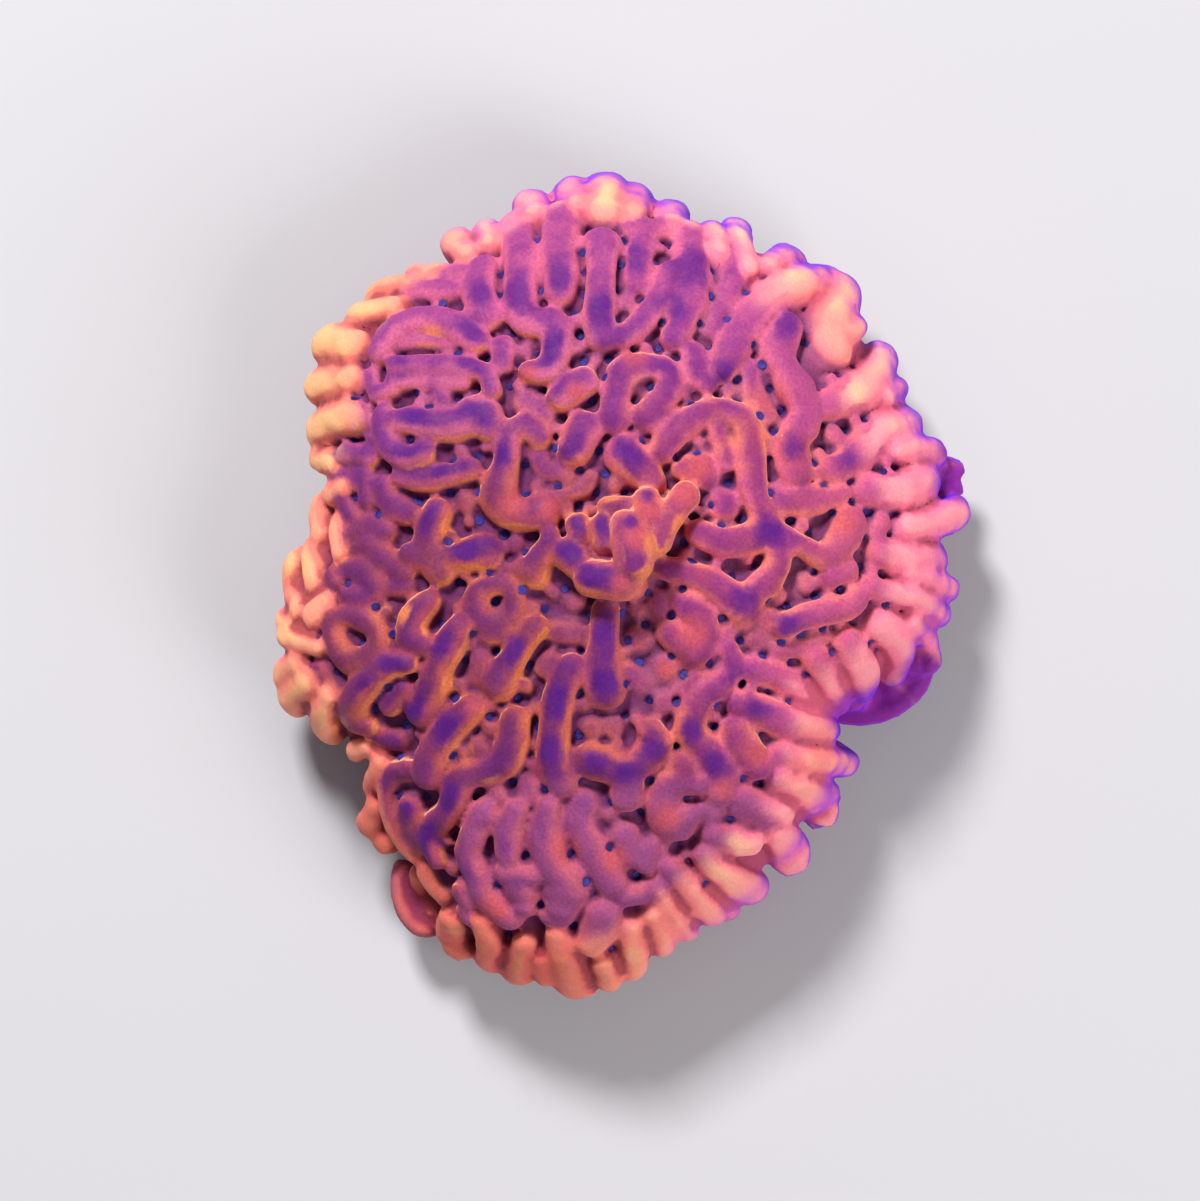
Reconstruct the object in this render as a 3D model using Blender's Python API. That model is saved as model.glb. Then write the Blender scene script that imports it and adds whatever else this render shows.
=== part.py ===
"""Colony of montipora coral: one grown piece, broken off flat underneath.

A low dome carries winding ridges with narrow valleys between them, rounded lobes all round its
growing margin, and a small cluster of fused fingers beside the middle.  The ridges are laid out
in plan, in millimetres, on a dome whose height is a formula, and everything is fused and cut flat.
"""

import math
import random

import bmesh
import bpy
import numpy as np
from mathutils import Vector, noise

MM = 0.001

# Driving dimensions, in millimetres
PLAN_CENTRE = (2.2, 1.5)    # middle of the plan in the ridges' own grid
CREST_Z = 25.0              # top of the tall ridges in the middle, above the cut
GIRTH_Z = 8.5               # height at which the colony is widest
VALLEY_DEPTH = 2.3          # tall ridge top down to the valley floor
DOME_POWER = 2.6            # how flat the top is
CUT_WIDTH_SHARE = 0.82      # width of the cut face as a share of the girth
CORE = (0.45, 0.45, 4.0)    # ridges stand out from a core: shares of x and y, and a height
TALL = 0.92                 # its top above its centre line, as a share of its radius
FOOT_ROUND = 0.6            # how round a ridge's sides are below its centre line
ROOT = 0.8                  # how far a ridge's foot goes under the valley floor
UNEVEN = 0.16               # how much a ridge swells and narrows along its length
UNEVEN_STEP = 4.0           # over about this length
TAIL_END_Z = 2.5            # margin lobes run down the flank to this height
TAIL_STEPS = 3
TAIL_TAPER = 0.45
SAMPLE_STEP = 0.8           # spacing of the points along a ridge
SECTION_SIDES = 16
DOME_SIDES = 120
CAP_FOOT = 0.6              # a foot draws in where its ridge's radius falls below this
GRAIN = 0.62                # size of the cells that fuse the ridges to the dome
SOFTEN_ROUNDS = 3
FACE_SHARE = 0.095          # share of the fused faces that the solid keeps

# Each height class: how far its ridges' tops are below the dome, and their half width as a share
# of their radius
CLASSES = {
    "tall": (0.0, 1.13), "mid": (0.6, 1.16), "low": (1.1, 1.16), "rim": (0.2, 1.1),
    "shelf": (2.4, 1.1), "fold": (0.0, 1.1), "knob": (0.0, 1.04), "floor": (1.2, 1.12),
}

LUMP_TRIES = 9000           # places tried for the small lumps on the wide valley floors
LUMP_SEED = 5
LUMP_GAP = 0.5              # least room from a lump's middle to a ridge
LUMP_RADIUS = 1.15          # largest lump
LUMP_SPACING = 2.0

# Plan of the dome, going clockwise from the top
OUTLINE = [
    (0.5, 43.3), (8.0, 40.0), (14.0, 38.2), (20.5, 35.0), (25.5, 31.0), (28.7, 26.0), (31.2, 21.0),
    (33.0, 17.0), (34.6, 12.5), (35.6, 8.0), (35.2, 4.0), (35.3, 0.0), (33.6, -4.0), (31.0, -7.8),
    (27.0, -10.4), (24.2, -12.5), (25.0, -16.0), (23.2, -21.0), (20.5, -25.5), (17.5, -28.8),
    (13.0, -32.2), (8.0, -35.0), (3.5, -38.2), (-1.0, -40.5), (-5.0, -39.3), (-10.0, -37.8),
    (-15.0, -34.8), (-18.0, -30.5), (-20.0, -27.0), (-23.0, -23.5), (-23.8, -19.5), (-26.5, -15.2),
    (-31.5, -10.8), (-33.0, -6.0), (-32.4, -1.0), (-30.5, 5.0), (-29.0, 10.0), (-29.5, 17.0),
    (-29.3, 22.5), (-27.3, 27.3), (-22.0, 32.0), (-16.0, 35.5), (-10.5, 38.5), (-5.5, 41.3),
]

# Each ridge: its height class, then its points as (x, y, radius).  A rim or shelf lobe starts
# at its outer end.  The knob's fingers have a fourth number, their lift above the dome.
NORTH = [
    ("tall", (-11.5, 33.0, 1.7), (-11.9, 30.5, 1.75), (-11.2, 28.0, 1.5)),
    ("tall", (-8.2, 37.3, 2.0), (-7.7, 34.5, 1.8), (-7.7, 31.5, 1.8), (-7.8, 28.8, 1.7),
     (-6.6, 27.4, 1.5), (-4.6, 27.0, 1.6), (-4.3, 24.9, 1.4), (-5.0, 22.8, 1.3), (-7.2, 22.7, 1.0)),
    ("tall", (-3.5, 38.0, 2.1), (-3.9, 35.0, 1.8), (-3.8, 32.0, 1.8), (-3.9, 30.4, 1.6)),
    ("tall", (0.2, 35.3, 1.8), (0.1, 32.7, 1.15), (0.0, 30.3, 1.4), (0.0, 27.5, 1.6), (0.2, 25.8, 1.4)),
    ("mid", (4.3, 36.4, 1.6), (3.8, 33.5, 1.4), (3.6, 31.2, 1.2)),
    ("mid", (3.2, 36.8, 1.2), (6.5, 36.8, 1.4), (8.6, 36.6, 1.5)),
    ("tall", (8.8, 36.2, 1.9), (9.0, 33.0, 2.1), (8.8, 30.0, 1.9), (8.0, 27.5, 1.6), (7.2, 25.8, 1.2)),
    ("tall", (7.0, 32.5, 1.3), (5.8, 29.6, 1.3), (3.8, 27.2, 1.3), (2.2, 25.9, 1.2)),
    ("low", (13.4, 34.0, 1.3), (12.9, 31.0, 1.4), (11.7, 28.0, 1.3), (11.0, 26.6, 1.0)),
    ("mid", (9.2, 24.2, 1.3), (9.6, 22.3, 1.35), (10.5, 21.2, 1.0)),
    ("mid", (-9.6, 25.1, 1.2), (-9.5, 23.3, 1.2)),
    ("mid", (-16.2, 32.7, 1.1), (-13.9, 32.4, 1.0)),
    ("mid", (-18.4, 31.0, 1.7), (-15.0, 30.4, 1.6)),
]
NORTH_RIM = [
    ("rim", (-22.3, 30.8, 1.4), (-19.5, 31.6, 1.2)),
    ("rim", (-18.6, 33.0, 1.0), (-16.9, 32.6, 1.0)),
    ("rim", (-14.4, 36.0, 1.6), (-13.0, 34.3, 1.2)),
    ("rim", (-11.3, 37.1, 1.3), (-10.9, 35.5, 1.0)),
    ("rim", (-7.0, 39.8, 1.7), (-6.2, 38.5, 1.4)),
    ("rim", (-2.7, 41.0, 1.9), (-2.0, 39.0, 1.6)),
    ("rim", (0.6, 41.0, 2.2), (0.5, 38.5, 2.0)),
    ("rim", (3.2, 40.2, 2.1), (2.8, 38.3, 1.6)),
    ("rim", (7.0, 38.7, 1.9), (7.0, 37.4, 1.5)),
    ("rim", (11.2, 36.5, 1.5), (11.6, 34.8, 1.1)),
    ("rim", (13.6, 37.3, 1.4), (13.9, 35.5, 1.3), (14.7, 33.0, 1.2)),
]
NORTH_EAST = [
    ("fold", (22.5, 32.0, 2.0), (19.5, 31.3, 1.9), (16.8, 29.9, 1.8), (14.5, 27.5, 1.7),
     (12.8, 24.5, 1.6), (12.2, 22.9, 1.2)),
    ("rim", (24.2, 31.2, 2.2), (22.9, 28.0, 2.7), (22.6, 25.0, 2.4)),
    ("rim", (18.7, 34.1, 1.9), (16.8, 33.2, 1.2)),
    ("tall", (18.6, 27.2, 1.5), (17.5, 24.9, 1.9), (18.2, 22.8, 1.6), (19.3, 20.8, 1.8),
     (20.3, 18.6, 1.6), (20.4, 16.8, 1.3)),
    ("tall", (19.6, 17.3, 1.5), (18.7, 15.0, 1.8), (19.3, 12.9, 1.7)),
    ("low", (14.8, 22.6, 1.2), (15.0, 20.4, 1.5), (16.4, 18.2, 1.2)),
    ("rim", (28.2, 24.4, 1.8), (27.2, 22.1, 2.0), (25.0, 20.5, 1.9), (22.6, 19.3, 1.4)),
    ("rim", (25.6, 27.4, 1.1), (24.6, 26.6, 1.1)),
    ("rim", (29.8, 21.4, 1.3), (28.4, 20.4, 1.0)),
    ("rim", (30.5, 17.6, 2.0), (28.0, 16.9, 2.0), (25.8, 15.0, 1.9), (24.0, 13.4, 1.7),
     (22.4, 12.8, 1.2)),
    ("rim", (33.6, 14.8, 1.4), (31.0, 15.2, 1.3), (29.5, 15.0, 1.0)),
    ("shelf", (35.8, 13.4, 1.2), (34.4, 13.2, 1.3)),
    ("shelf", (36.1, 11.5, 1.1), (34.6, 11.6, 1.2)),
    ("rim", (28.4, 10.9, 2.1), (26.2, 10.8, 1.4)),
    ("rim", (32.0, 12.0, 2.2), (29.5, 10.8, 1.8)),
]
EAST = [
    ("rim", (35.8, 9.0, 1.7), (33.0, 7.7, 1.5), (30.4, 7.4, 1.2)),
    ("low", (27.8, 7.8, 1.1), (27.2, 6.3, 0.9)),
    ("rim", (33.0, 4.2, 1.9), (30.2, 4.2, 1.7), (27.6, 4.8, 1.2)),
    ("rim", (35.2, 1.1, 1.1), (32.8, 2.1, 1.1), (30.5, 2.7, 0.9)),
    ("rim", (34.2, -1.5, 1.3), (32.0, 0.1, 1.2), (29.3, 0.7, 1.1), (26.8, 1.4, 1.0)),
    ("mid", (18.0, 9.6, 1.3), (20.3, 9.8, 1.4), (22.6, 10.1, 1.1), (24.2, 10.6, 0.8)),
    ("tall", (24.6, 7.7, 2.0), (23.7, 5.7, 1.6), (22.0, 4.4, 1.2), (19.8, 5.4, 1.0), (18.0, 6.2, 1.2)),
    ("mid", (24.3, 3.1, 1.2), (22.5, 2.3, 1.2)),
    ("tall", (25.4, 0.3, 1.3), (24.4, -0.6, 1.3), (22.3, -1.1, 1.3), (19.6, -1.8, 1.3),
     (18.0, -2.6, 1.3)),
    ("fold", (26.4, -9.0, 1.3), (26.2, -7.2, 1.7), (25.2, -5.4, 1.7), (24.4, -4.0, 1.4)),
    ("fold", (23.8, -10.2, 1.3), (22.7, -8.0, 1.5), (21.4, -5.7, 1.3)),
    ("fold", (29.4, -7.2, 1.5), (29.9, -5.2, 1.9), (29.2, -3.3, 1.9), (27.4, -2.2, 1.7)),
    ("rim", (33.0, -6.6, 1.2), (33.1, -4.8, 1.2), (32.3, -3.2, 1.3), (30.9, -2.0, 1.2)),
    ("shelf", (24.3, -11.4, 1.0), (27.0, -11.6, 1.1), (29.6, -10.7, 1.2), (31.6, -9.0, 1.2),
     (32.8, -6.9, 1.1)),
    ("shelf", (24.8, -9.8, 1.3), (27.4, -9.6, 1.4), (29.8, -8.4, 1.5), (31.2, -6.6, 1.3)),
    ("low", (17.4, -4.6, 1.1), (20.0, -4.4, 1.1), (22.0, -3.4, 0.8)),
]
CENTRE_RIDGES = [
    ("tall", (-3.9, 20.0, 1.3), (-1.6, 21.6, 1.5)),
    ("tall", (-1.5, 17.0, 1.8), (-2.7, 14.6, 1.5)),
    ("tall", (1.3, 17.8, 1.4), (1.7, 20.5, 1.5), (2.5, 22.5, 1.5), (4.8, 23.0, 1.25), (6.6, 22.6, 1.3),
     (6.8, 21.2, 1.3), (6.0, 19.6, 1.4), (4.6, 18.0, 1.5)),
    ("tall", (2.6, 14.4, 2.3), (4.0, 12.8, 1.8), (5.4, 11.6, 1.0)),
    ("tall", (11.2, 19.0, 1.0), (10.0, 18.4, 1.3), (8.2, 17.4, 1.4), (6.6, 15.6, 1.3), (6.2, 14.8, 1.1)),
    ("tall", (11.2, 19.0, 1.0), (12.2, 18.6, 1.3), (13.9, 17.9, 1.5), (14.6, 16.0, 1.4),
     (14.9, 13.5, 1.35), (15.0, 11.5, 1.3), (15.7, 9.5, 1.2), (16.6, 7.2, 1.6)),
    ("mid", (11.3, 18.2, 1.0), (11.6, 16.4, 0.9), (12.2, 14.6, 0.8), (12.5, 13.3, 0.7)),
    ("mid", (8.0, 12.8, 1.0), (9.9, 13.2, 1.5), (10.3, 12.2, 1.4)),
    ("mid", (12.0, 9.6, 1.7), (12.3, 9.0, 1.5)),
    ("tall", (9.5, 6.8, 1.2), (12.0, 5.8, 1.3), (14.5, 6.0, 1.5), (16.5, 6.8, 1.7)),
    ("tall", (6.2, 3.2, 1.1), (8.6, 2.7, 1.3), (11.0, 1.6, 1.4), (12.8, 0.3, 1.6), (14.0, -0.6, 1.9)),
    ("tall", (16.6, 6.6, 1.2), (17.6, 4.5, 1.2), (16.9, 2.4, 1.3), (15.0, 0.6, 1.3)),
    ("low", (16.4, -1.4, 1.0), (15.4, -3.5, 1.7)),
    ("low", (5.7, 0.2, 1.1), (5.7, -1.6, 1.1)),
]
KNOB = [
    ("knob", (8.4, 10.4, 1.35, 1.4), (6.9, 8.2, 1.35, 2.8), (5.4, 5.8, 1.5, 3.4)),
    ("knob", (4.5, 9.9, 1.45, 1.8), (4.7, 8.2, 1.3, 3.0)),
    ("knob", (2.6, 7.4, 1.5, 3.6), (3.2, 5.6, 1.9, 5.0), (3.4, 3.8, 1.8, 5.2)),
    ("knob", (0.2, 7.5, 1.2, 1.4), (0.4, 5.6, 1.1, 2.2)),
    ("knob", (-2.2, 7.5, 1.3, 0.6), (-1.9, 6.3, 1.0, 0.8)),
    ("knob", (-3.1, 4.6, 1.7, 1.2), (-2.2, 3.6, 1.5, 1.8)),
    ("knob", (-0.9, 2.2, 1.85, 3.4), (2.0, 1.8, 1.85, 4.2)),
    ("knob", (0.6, 9.2, 1.0, 0.4), (2.6, 9.4, 0.95, 0.8)),
    ("knob", (1.4, 4.4, 1.4, 0.6), (3.4, 6.0, 1.6, 1.0)),
]
NORTH_WEST = [
    ("tall", (-21.8, 24.5, 1.3), (-20.5, 26.5, 1.6), (-17.5, 27.8, 1.6), (-14.3, 27.0, 1.6),
     (-12.2, 25.6, 1.2)),
    ("tall", (-20.3, 23.3, 1.0), (-17.0, 23.3, 1.1), (-13.5, 23.1, 1.1), (-11.3, 22.3, 1.0),
     (-10.7, 20.8, 0.9)),
    ("mid", (-19.2, 21.9, 1.2), (-16.5, 21.9, 1.3), (-13.5, 21.9, 1.3)),
    ("low", (-19.6, 25.5, 1.2), (-16.8, 25.8, 1.4), (-13.8, 25.2, 1.2)),
    ("mid", (-20.4, 22.0, 0.8), (-20.7, 21.0, 0.8), (-22.3, 20.4, 0.8)),
    ("low", (-22.6, 22.5, 0.9), (-22.4, 20.9, 0.8)),
    ("low", (-15.8, 20.0, 0.9), (-15.4, 19.6, 0.8)),
    ("tall", (-20.3, 17.8, 1.1), (-17.5, 17.6, 1.5), (-14.5, 17.2, 1.6), (-12.0, 18.2, 2.0),
     (-10.8, 17.2, 1.6)),
    ("tall", (-21.5, 18.6, 0.9), (-21.6, 17.3, 1.0), (-20.8, 15.2, 1.1), (-19.0, 14.2, 1.2),
     (-17.3, 14.6, 1.2)),
    ("mid", (-19.8, 12.4, 0.9), (-17.5, 11.9, 1.1), (-14.8, 12.5, 1.3), (-12.6, 12.9, 1.0)),
    ("tall", (-5.9, 16.0, 1.1), (-7.2, 17.2, 1.2), (-8.9, 16.2, 1.3), (-9.2, 14.0, 1.25),
     (-9.6, 12.2, 1.4),
     (-9.9, 10.4, 1.9), (-9.0, 9.0, 1.9), (-7.0, 8.6, 1.8), (-5.5, 8.7, 1.7)),
    ("low", (-5.0, 10.2, 0.7), (-3.0, 10.4, 0.6), (-1.5, 10.9, 0.7), (-0.8, 12.2, 0.8)),
    ("low", (-6.2, 14.6, 1.2), (-5.4, 12.6, 1.0)),
    ("low", (-4.2, 12.6, 1.0), (-3.2, 12.0, 1.0)),
    ("low", (-7.6, 19.6, 1.2), (-6.0, 18.9, 1.3), (-5.2, 17.9, 1.0)),
    ("rim", (-24.0, 28.4, 1.5), (-20.5, 29.0, 1.4)),
    ("rim", (-27.0, 25.8, 2.0), (-24.3, 25.1, 1.8)),
    ("rim", (-27.7, 21.6, 1.8), (-24.5, 21.9, 1.5)),
    ("rim", (-27.5, 17.3, 2.1), (-24.8, 18.3, 2.0), (-23.6, 18.0, 1.5)),
    ("rim", (-27.9, 14.4, 1.5), (-26.3, 13.6, 1.2)),
]
WEST = [
    ("tall", (-16.0, 8.8, 1.4), (-16.7, 6.8, 1.5), (-16.6, 4.8, 1.8), (-15.6, 2.9, 1.8)),
    ("tall", (-18.9, 4.6, 1.0), (-17.0, 4.2, 1.5)),
    ("tall", (-16.0, 4.0, 1.4), (-14.5, 4.2, 1.4), (-12.6, 4.6, 1.8), (-11.2, 4.7, 2.1)),
    ("tall", (-6.6, 2.9, 1.9), (-6.2, 3.6, 1.6), (-5.5, 5.2, 0.9), (-4.9, 6.6, 0.8)),
    ("mid", (-9.4, 1.6, 0.8), (-11.8, 1.1, 1.0), (-12.1, -1.0, 1.4), (-10.7, -2.7, 1.8),
     (-8.9, -1.8, 1.6), (-8.4, 0.3, 1.1), (-9.4, 1.6, 0.8)),
    ("mid", (-25.3, 14.6, 1.0), (-22.5, 14.3, 1.0)),
    ("mid", (-26.2, 13.0, 1.0), (-23.8, 12.0, 1.0)),
    ("mid", (-23.2, 12.5, 1.2), (-22.8, 10.0, 1.2)),
    ("low", (-22.4, 16.0, 0.8), (-21.8, 14.8, 0.8)),
    ("mid", (-21.3, 11.3, 1.3), (-20.5, 9.5, 1.5), (-18.8, 8.6, 1.2)),
    ("mid", (-25.2, 10.2, 1.1), (-24.3, 8.3, 1.1)),
    ("mid", (-23.8, 6.6, 1.4), (-22.4, 7.4, 1.6), (-21.0, 6.6, 1.4)),
    ("mid", (-22.6, 5.4, 1.5), (-20.9, 3.8, 1.4), (-19.2, 2.9, 1.3)),
    ("low", (-24.4, 6.2, 0.9), (-23.8, 5.2, 0.9)),
    ("low", (-20.4, 1.2, 0.9), (-18.8, 1.2, 0.9)),
    ("mid", (-24.6, 2.9, 1.1), (-22.8, 2.6, 1.5), (-21.8, 1.2, 1.5), (-23.2, 0.2, 1.3),
     (-24.8, 0.4, 0.9)),
    ("mid", (-26.6, 2.6, 0.9), (-26.0, 1.6, 0.9)),
    ("mid", (-24.8, -1.6, 1.1), (-26.2, -2.2, 1.2), (-26.0, -4.1, 1.3), (-24.8, -5.8, 1.4),
     (-22.9, -5.6, 1.2), (-21.6, -4.0, 1.1), (-22.8, -2.2, 1.2), (-24.8, -1.6, 1.1)),
]
WEST_RIM = [
    ("rim", (-27.5, 9.2, 1.8), (-27.4, 6.4, 1.8)),
    ("rim", (-26.4, 10.8, 1.3), (-25.2, 11.4, 1.1)),
    ("rim", (-26.0, 7.5, 1.2), (-25.6, 4.8, 1.2)),
    ("rim", (-28.5, 4.6, 1.6), (-28.0, 1.6, 1.6)),
    ("rim", (-30.4, 4.0, 1.3), (-30.5, 1.0, 1.4), (-29.6, -1.2, 1.5)),
    ("rim", (-28.2, -1.7, 1.6), (-27.0, -0.3, 1.3)),
    ("rim", (-31.6, -1.8, 1.2), (-30.8, -3.0, 1.0)),
    ("rim", (-31.3, -3.6, 1.2), (-29.5, -4.3, 1.0), (-28.0, -4.7, 0.8)),
    ("rim", (-31.3, -7.6, 1.7), (-29.8, -6.2, 1.4)),
    ("rim", (-30.6, -9.6, 2.0), (-28.6, -7.8, 1.9)),
    ("rim", (-27.2, -12.6, 1.7), (-27.4, -11.2, 1.6), (-27.0, -9.4, 1.2)),
    ("rim", (-24.4, -15.0, 1.2), (-23.0, -14.6, 1.0)),
    ("rim", (-22.7, -18.9, 1.2), (-22.0, -17.0, 1.1), (-21.8, -15.9, 1.0)),
    ("rim", (-22.9, -22.6, 1.5), (-22.2, -20.6, 1.3)),
    ("rim", (-21.6, -24.6, 1.2), (-21.9, -23.2, 1.3)),
    ("shelf", (-16.8, -33.0, 0.9), (-18.9, -32.5, 1.0), (-20.0, -30.7, 1.0), (-20.4, -28.4, 0.9),
     (-20.2, -26.8, 0.8)),
    ("shelf", (-16.6, -30.9, 1.2), (-17.7, -29.4, 1.2), (-18.0, -27.6, 1.2)),
]
SOUTH_WEST = [
    ("tall", (-16.8, 0.0, 1.2), (-18.2, -1.5, 1.4), (-18.7, -3.5, 1.5), (-17.3, -4.4, 1.2)),
    ("tall", (-13.9, -2.6, 1.2), (-15.0, -4.6, 1.6), (-15.9, -6.6, 1.4), (-16.5, -8.8, 1.9),
     (-17.6, -11.0, 1.6)),
    ("tall", (-18.8, -6.3, 0.9), (-20.8, -6.3, 1.2), (-22.5, -7.6, 1.3), (-24.0, -9.3, 1.5),
     (-24.4, -11.5, 1.5), (-23.0, -12.3, 1.2)),
    ("mid", (-20.8, -10.2, 1.3), (-19.3, -8.6, 0.9)),
    ("low", (-21.5, -13.3, 1.3), (-19.5, -13.8, 1.3)),
    ("tall", (-12.6, -10.6, 1.3), (-14.2, -12.0, 1.6), (-15.5, -13.8, 1.6), (-16.4, -15.5, 1.6),
     (-16.9, -17.2, 1.5)),
    ("tall", (-8.3, -11.6, 1.4), (-8.6, -13.8, 1.6), (-9.5, -15.9, 1.8), (-11.5, -17.0, 1.3),
     (-13.4, -17.4, 1.4), (-14.2, -19.2, 1.4), (-15.0, -20.9, 1.3), (-16.4, -22.3, 1.3),
     (-16.9, -23.8, 1.2), (-16.2, -25.8, 1.0)),
    ("low", (-11.6, -5.6, 1.1), (-12.0, -7.6, 1.1)),
    ("low", (-12.0, -14.2, 1.0), (-11.6, -14.8, 0.9)),
    ("low", (-27.6, -6.8, 1.2), (-26.2, -9.2, 1.2)),
    ("mid", (-18.8, -16.8, 1.2), (-20.3, -17.2, 1.2), (-21.0, -19.3, 1.2), (-20.6, -21.8, 1.2),
     (-19.3, -24.0, 1.3), (-18.4, -25.4, 1.0)),
    ("mid", (-18.6, -20.4, 1.5), (-18.3, -22.6, 1.4), (-18.2, -24.3, 1.1)),
    ("mid", (-17.2, -27.0, 1.3), (-16.4, -28.5, 1.2), (-15.6, -29.6, 1.0)),
    ("tall", (-11.2, -20.9, 1.4), (-12.3, -22.9, 1.3), (-12.9, -25.0, 1.3), (-12.0, -27.3, 1.5),
     (-11.3, -29.2, 1.5), (-9.8, -30.8, 1.4), (-8.9, -31.6, 1.2)),
    ("mid", (-13.6, -28.8, 1.2), (-13.0, -30.2, 0.9)),
    ("tall", (-8.2, -20.6, 1.1), (-8.9, -22.4, 1.3), (-9.0, -24.3, 1.3), (-9.0, -25.3, 1.1)),
]
SOUTH = [
    ("tall", (-6.2, -2.4, 1.1), (-7.6, -4.2, 1.3), (-8.7, -6.0, 1.4), (-9.9, -8.2, 1.8)),
    ("low", (-4.4, -3.0, 1.2), (-2.2, -3.3, 1.2)),
    ("low", (-5.6, -6.8, 0.9), (-4.6, -5.6, 0.9)),
    ("tall", (-2.8, -6.4, 1.3), (-3.6, -8.2, 1.5), (-4.2, -10.5, 1.65), (-4.5, -13.5, 1.65),
     (-4.5, -15.8, 1.6), (-3.7, -17.7, 1.7)),
    ("tall", (0.6, -1.0, 1.4), (0.4, -3.4, 1.3), (0.3, -6.3, 1.6), (0.5, -8.9, 1.8)),
    ("low", (3.6, -3.4, 1.3), (4.1, -3.9, 1.3)),
    ("low", (2.8, -6.8, 0.9), (4.2, -8.2, 1.5)),
    ("low", (6.3, -6.3, 1.5), (6.6, -6.9, 1.4)),
    ("low", (6.1, -9.8, 1.1), (6.3, -10.3, 1.1)),
    ("low", (-0.9, -12.4, 1.1), (-0.6, -12.9, 1.0)),
    ("low", (1.3, -12.1, 1.1), (1.3, -12.7, 1.0)),
    ("tall", (-1.2, -15.8, 1.6), (0.8, -16.2, 1.6), (2.5, -17.2, 1.5), (2.6, -19.3, 1.7)),
    ("tall", (2.4, -16.8, 1.2), (3.6, -16.3, 1.3), (5.3, -14.4, 1.8), (5.0, -12.8, 1.3)),
    ("low", (-6.9, -18.2, 1.2), (-6.6, -19.3, 1.3)),
    ("low", (-10.2, -18.8, 1.1), (-9.8, -19.3, 1.0)),
    ("tall", (-5.0, -20.2, 1.1), (-5.3, -22.3, 1.6), (-5.2, -24.2, 1.6), (-4.8, -26.0, 1.5),
     (-3.7, -27.3, 1.9), (-3.4, -28.8, 2.1), (-3.8, -30.3, 1.5)),
    ("tall", (-9.3, -27.0, 1.2), (-8.0, -27.1, 1.4), (-6.8, -27.1, 1.3)),
    ("tall", (-8.2, -27.8, 1.7), (-7.5, -29.3, 1.6), (-7.5, -30.2, 1.1)),
    ("mid", (-1.6, -19.8, 1.8), (-2.0, -21.4, 1.6), (-1.6, -22.8, 1.5), (-0.6, -24.8, 1.8),
     (0.4, -26.7, 1.9), (1.2, -28.0, 1.5)),
    ("mid", (2.3, -23.0, 1.5), (2.8, -25.2, 1.3)),
    ("mid", (4.4, -24.4, 1.4), (4.3, -25.9, 1.1)),
    ("mid", (2.4, -29.3, 1.0), (4.2, -28.9, 1.2), (5.6, -27.9, 1.1)),
    ("mid", (-5.0, -31.2, 1.1), (-3.6, -31.2, 1.1)),
    ("mid", (-13.6, -30.9, 0.9), (-12.8, -31.6, 0.8)),
]
SOUTH_RIM = [
    ("rim", (-14.0, -34.9, 1.6), (-14.6, -33.4, 1.8), (-14.6, -31.8, 1.4)),
    ("rim", (-11.0, -36.1, 1.5), (-11.0, -34.0, 1.3), (-12.0, -31.9, 0.9)),
    ("rim", (-8.1, -37.0, 1.9), (-7.8, -35.7, 1.7), (-7.5, -34.0, 1.2)),
    ("rim", (-5.4, -37.6, 1.2), (-5.8, -35.6, 1.3)),
    ("rim", (-2.3, -38.2, 2.2), (-2.9, -36.8, 2.4), (-3.5, -35.0, 1.9), (-4.2, -33.2, 1.2)),
    ("rim", (-0.8, -33.8, 1.8), (-0.2, -32.5, 2.1), (0.2, -31.0, 1.8)),
    ("rim", (0.8, -37.9, 1.3), (0.2, -36.0, 1.2)),
    ("rim", (3.0, -36.5, 1.6), (3.0, -34.4, 1.7), (2.7, -32.3, 1.4)),
    ("rim", (6.1, -34.4, 1.4), (5.6, -32.9, 1.6), (4.9, -31.1, 1.3)),
    ("rim", (8.8, -33.3, 1.2), (7.5, -31.8, 1.2), (6.3, -30.0, 1.1), (5.6, -28.6, 1.0)),
    ("rim", (11.2, -31.3, 1.5), (9.9, -30.0, 1.6), (8.2, -27.9, 1.3), (6.8, -26.4, 1.1)),
    ("shelf", (12.9, -31.2, 1.2), (12.6, -29.8, 1.1)),
    ("rim", (15.2, -29.0, 1.7), (13.4, -28.0, 2.0), (11.6, -26.6, 1.7), (10.3, -25.0, 1.3)),
    ("rim", (14.9, -23.9, 1.5), (13.3, -23.6, 1.7), (11.2, -23.0, 1.3)),
]
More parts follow.
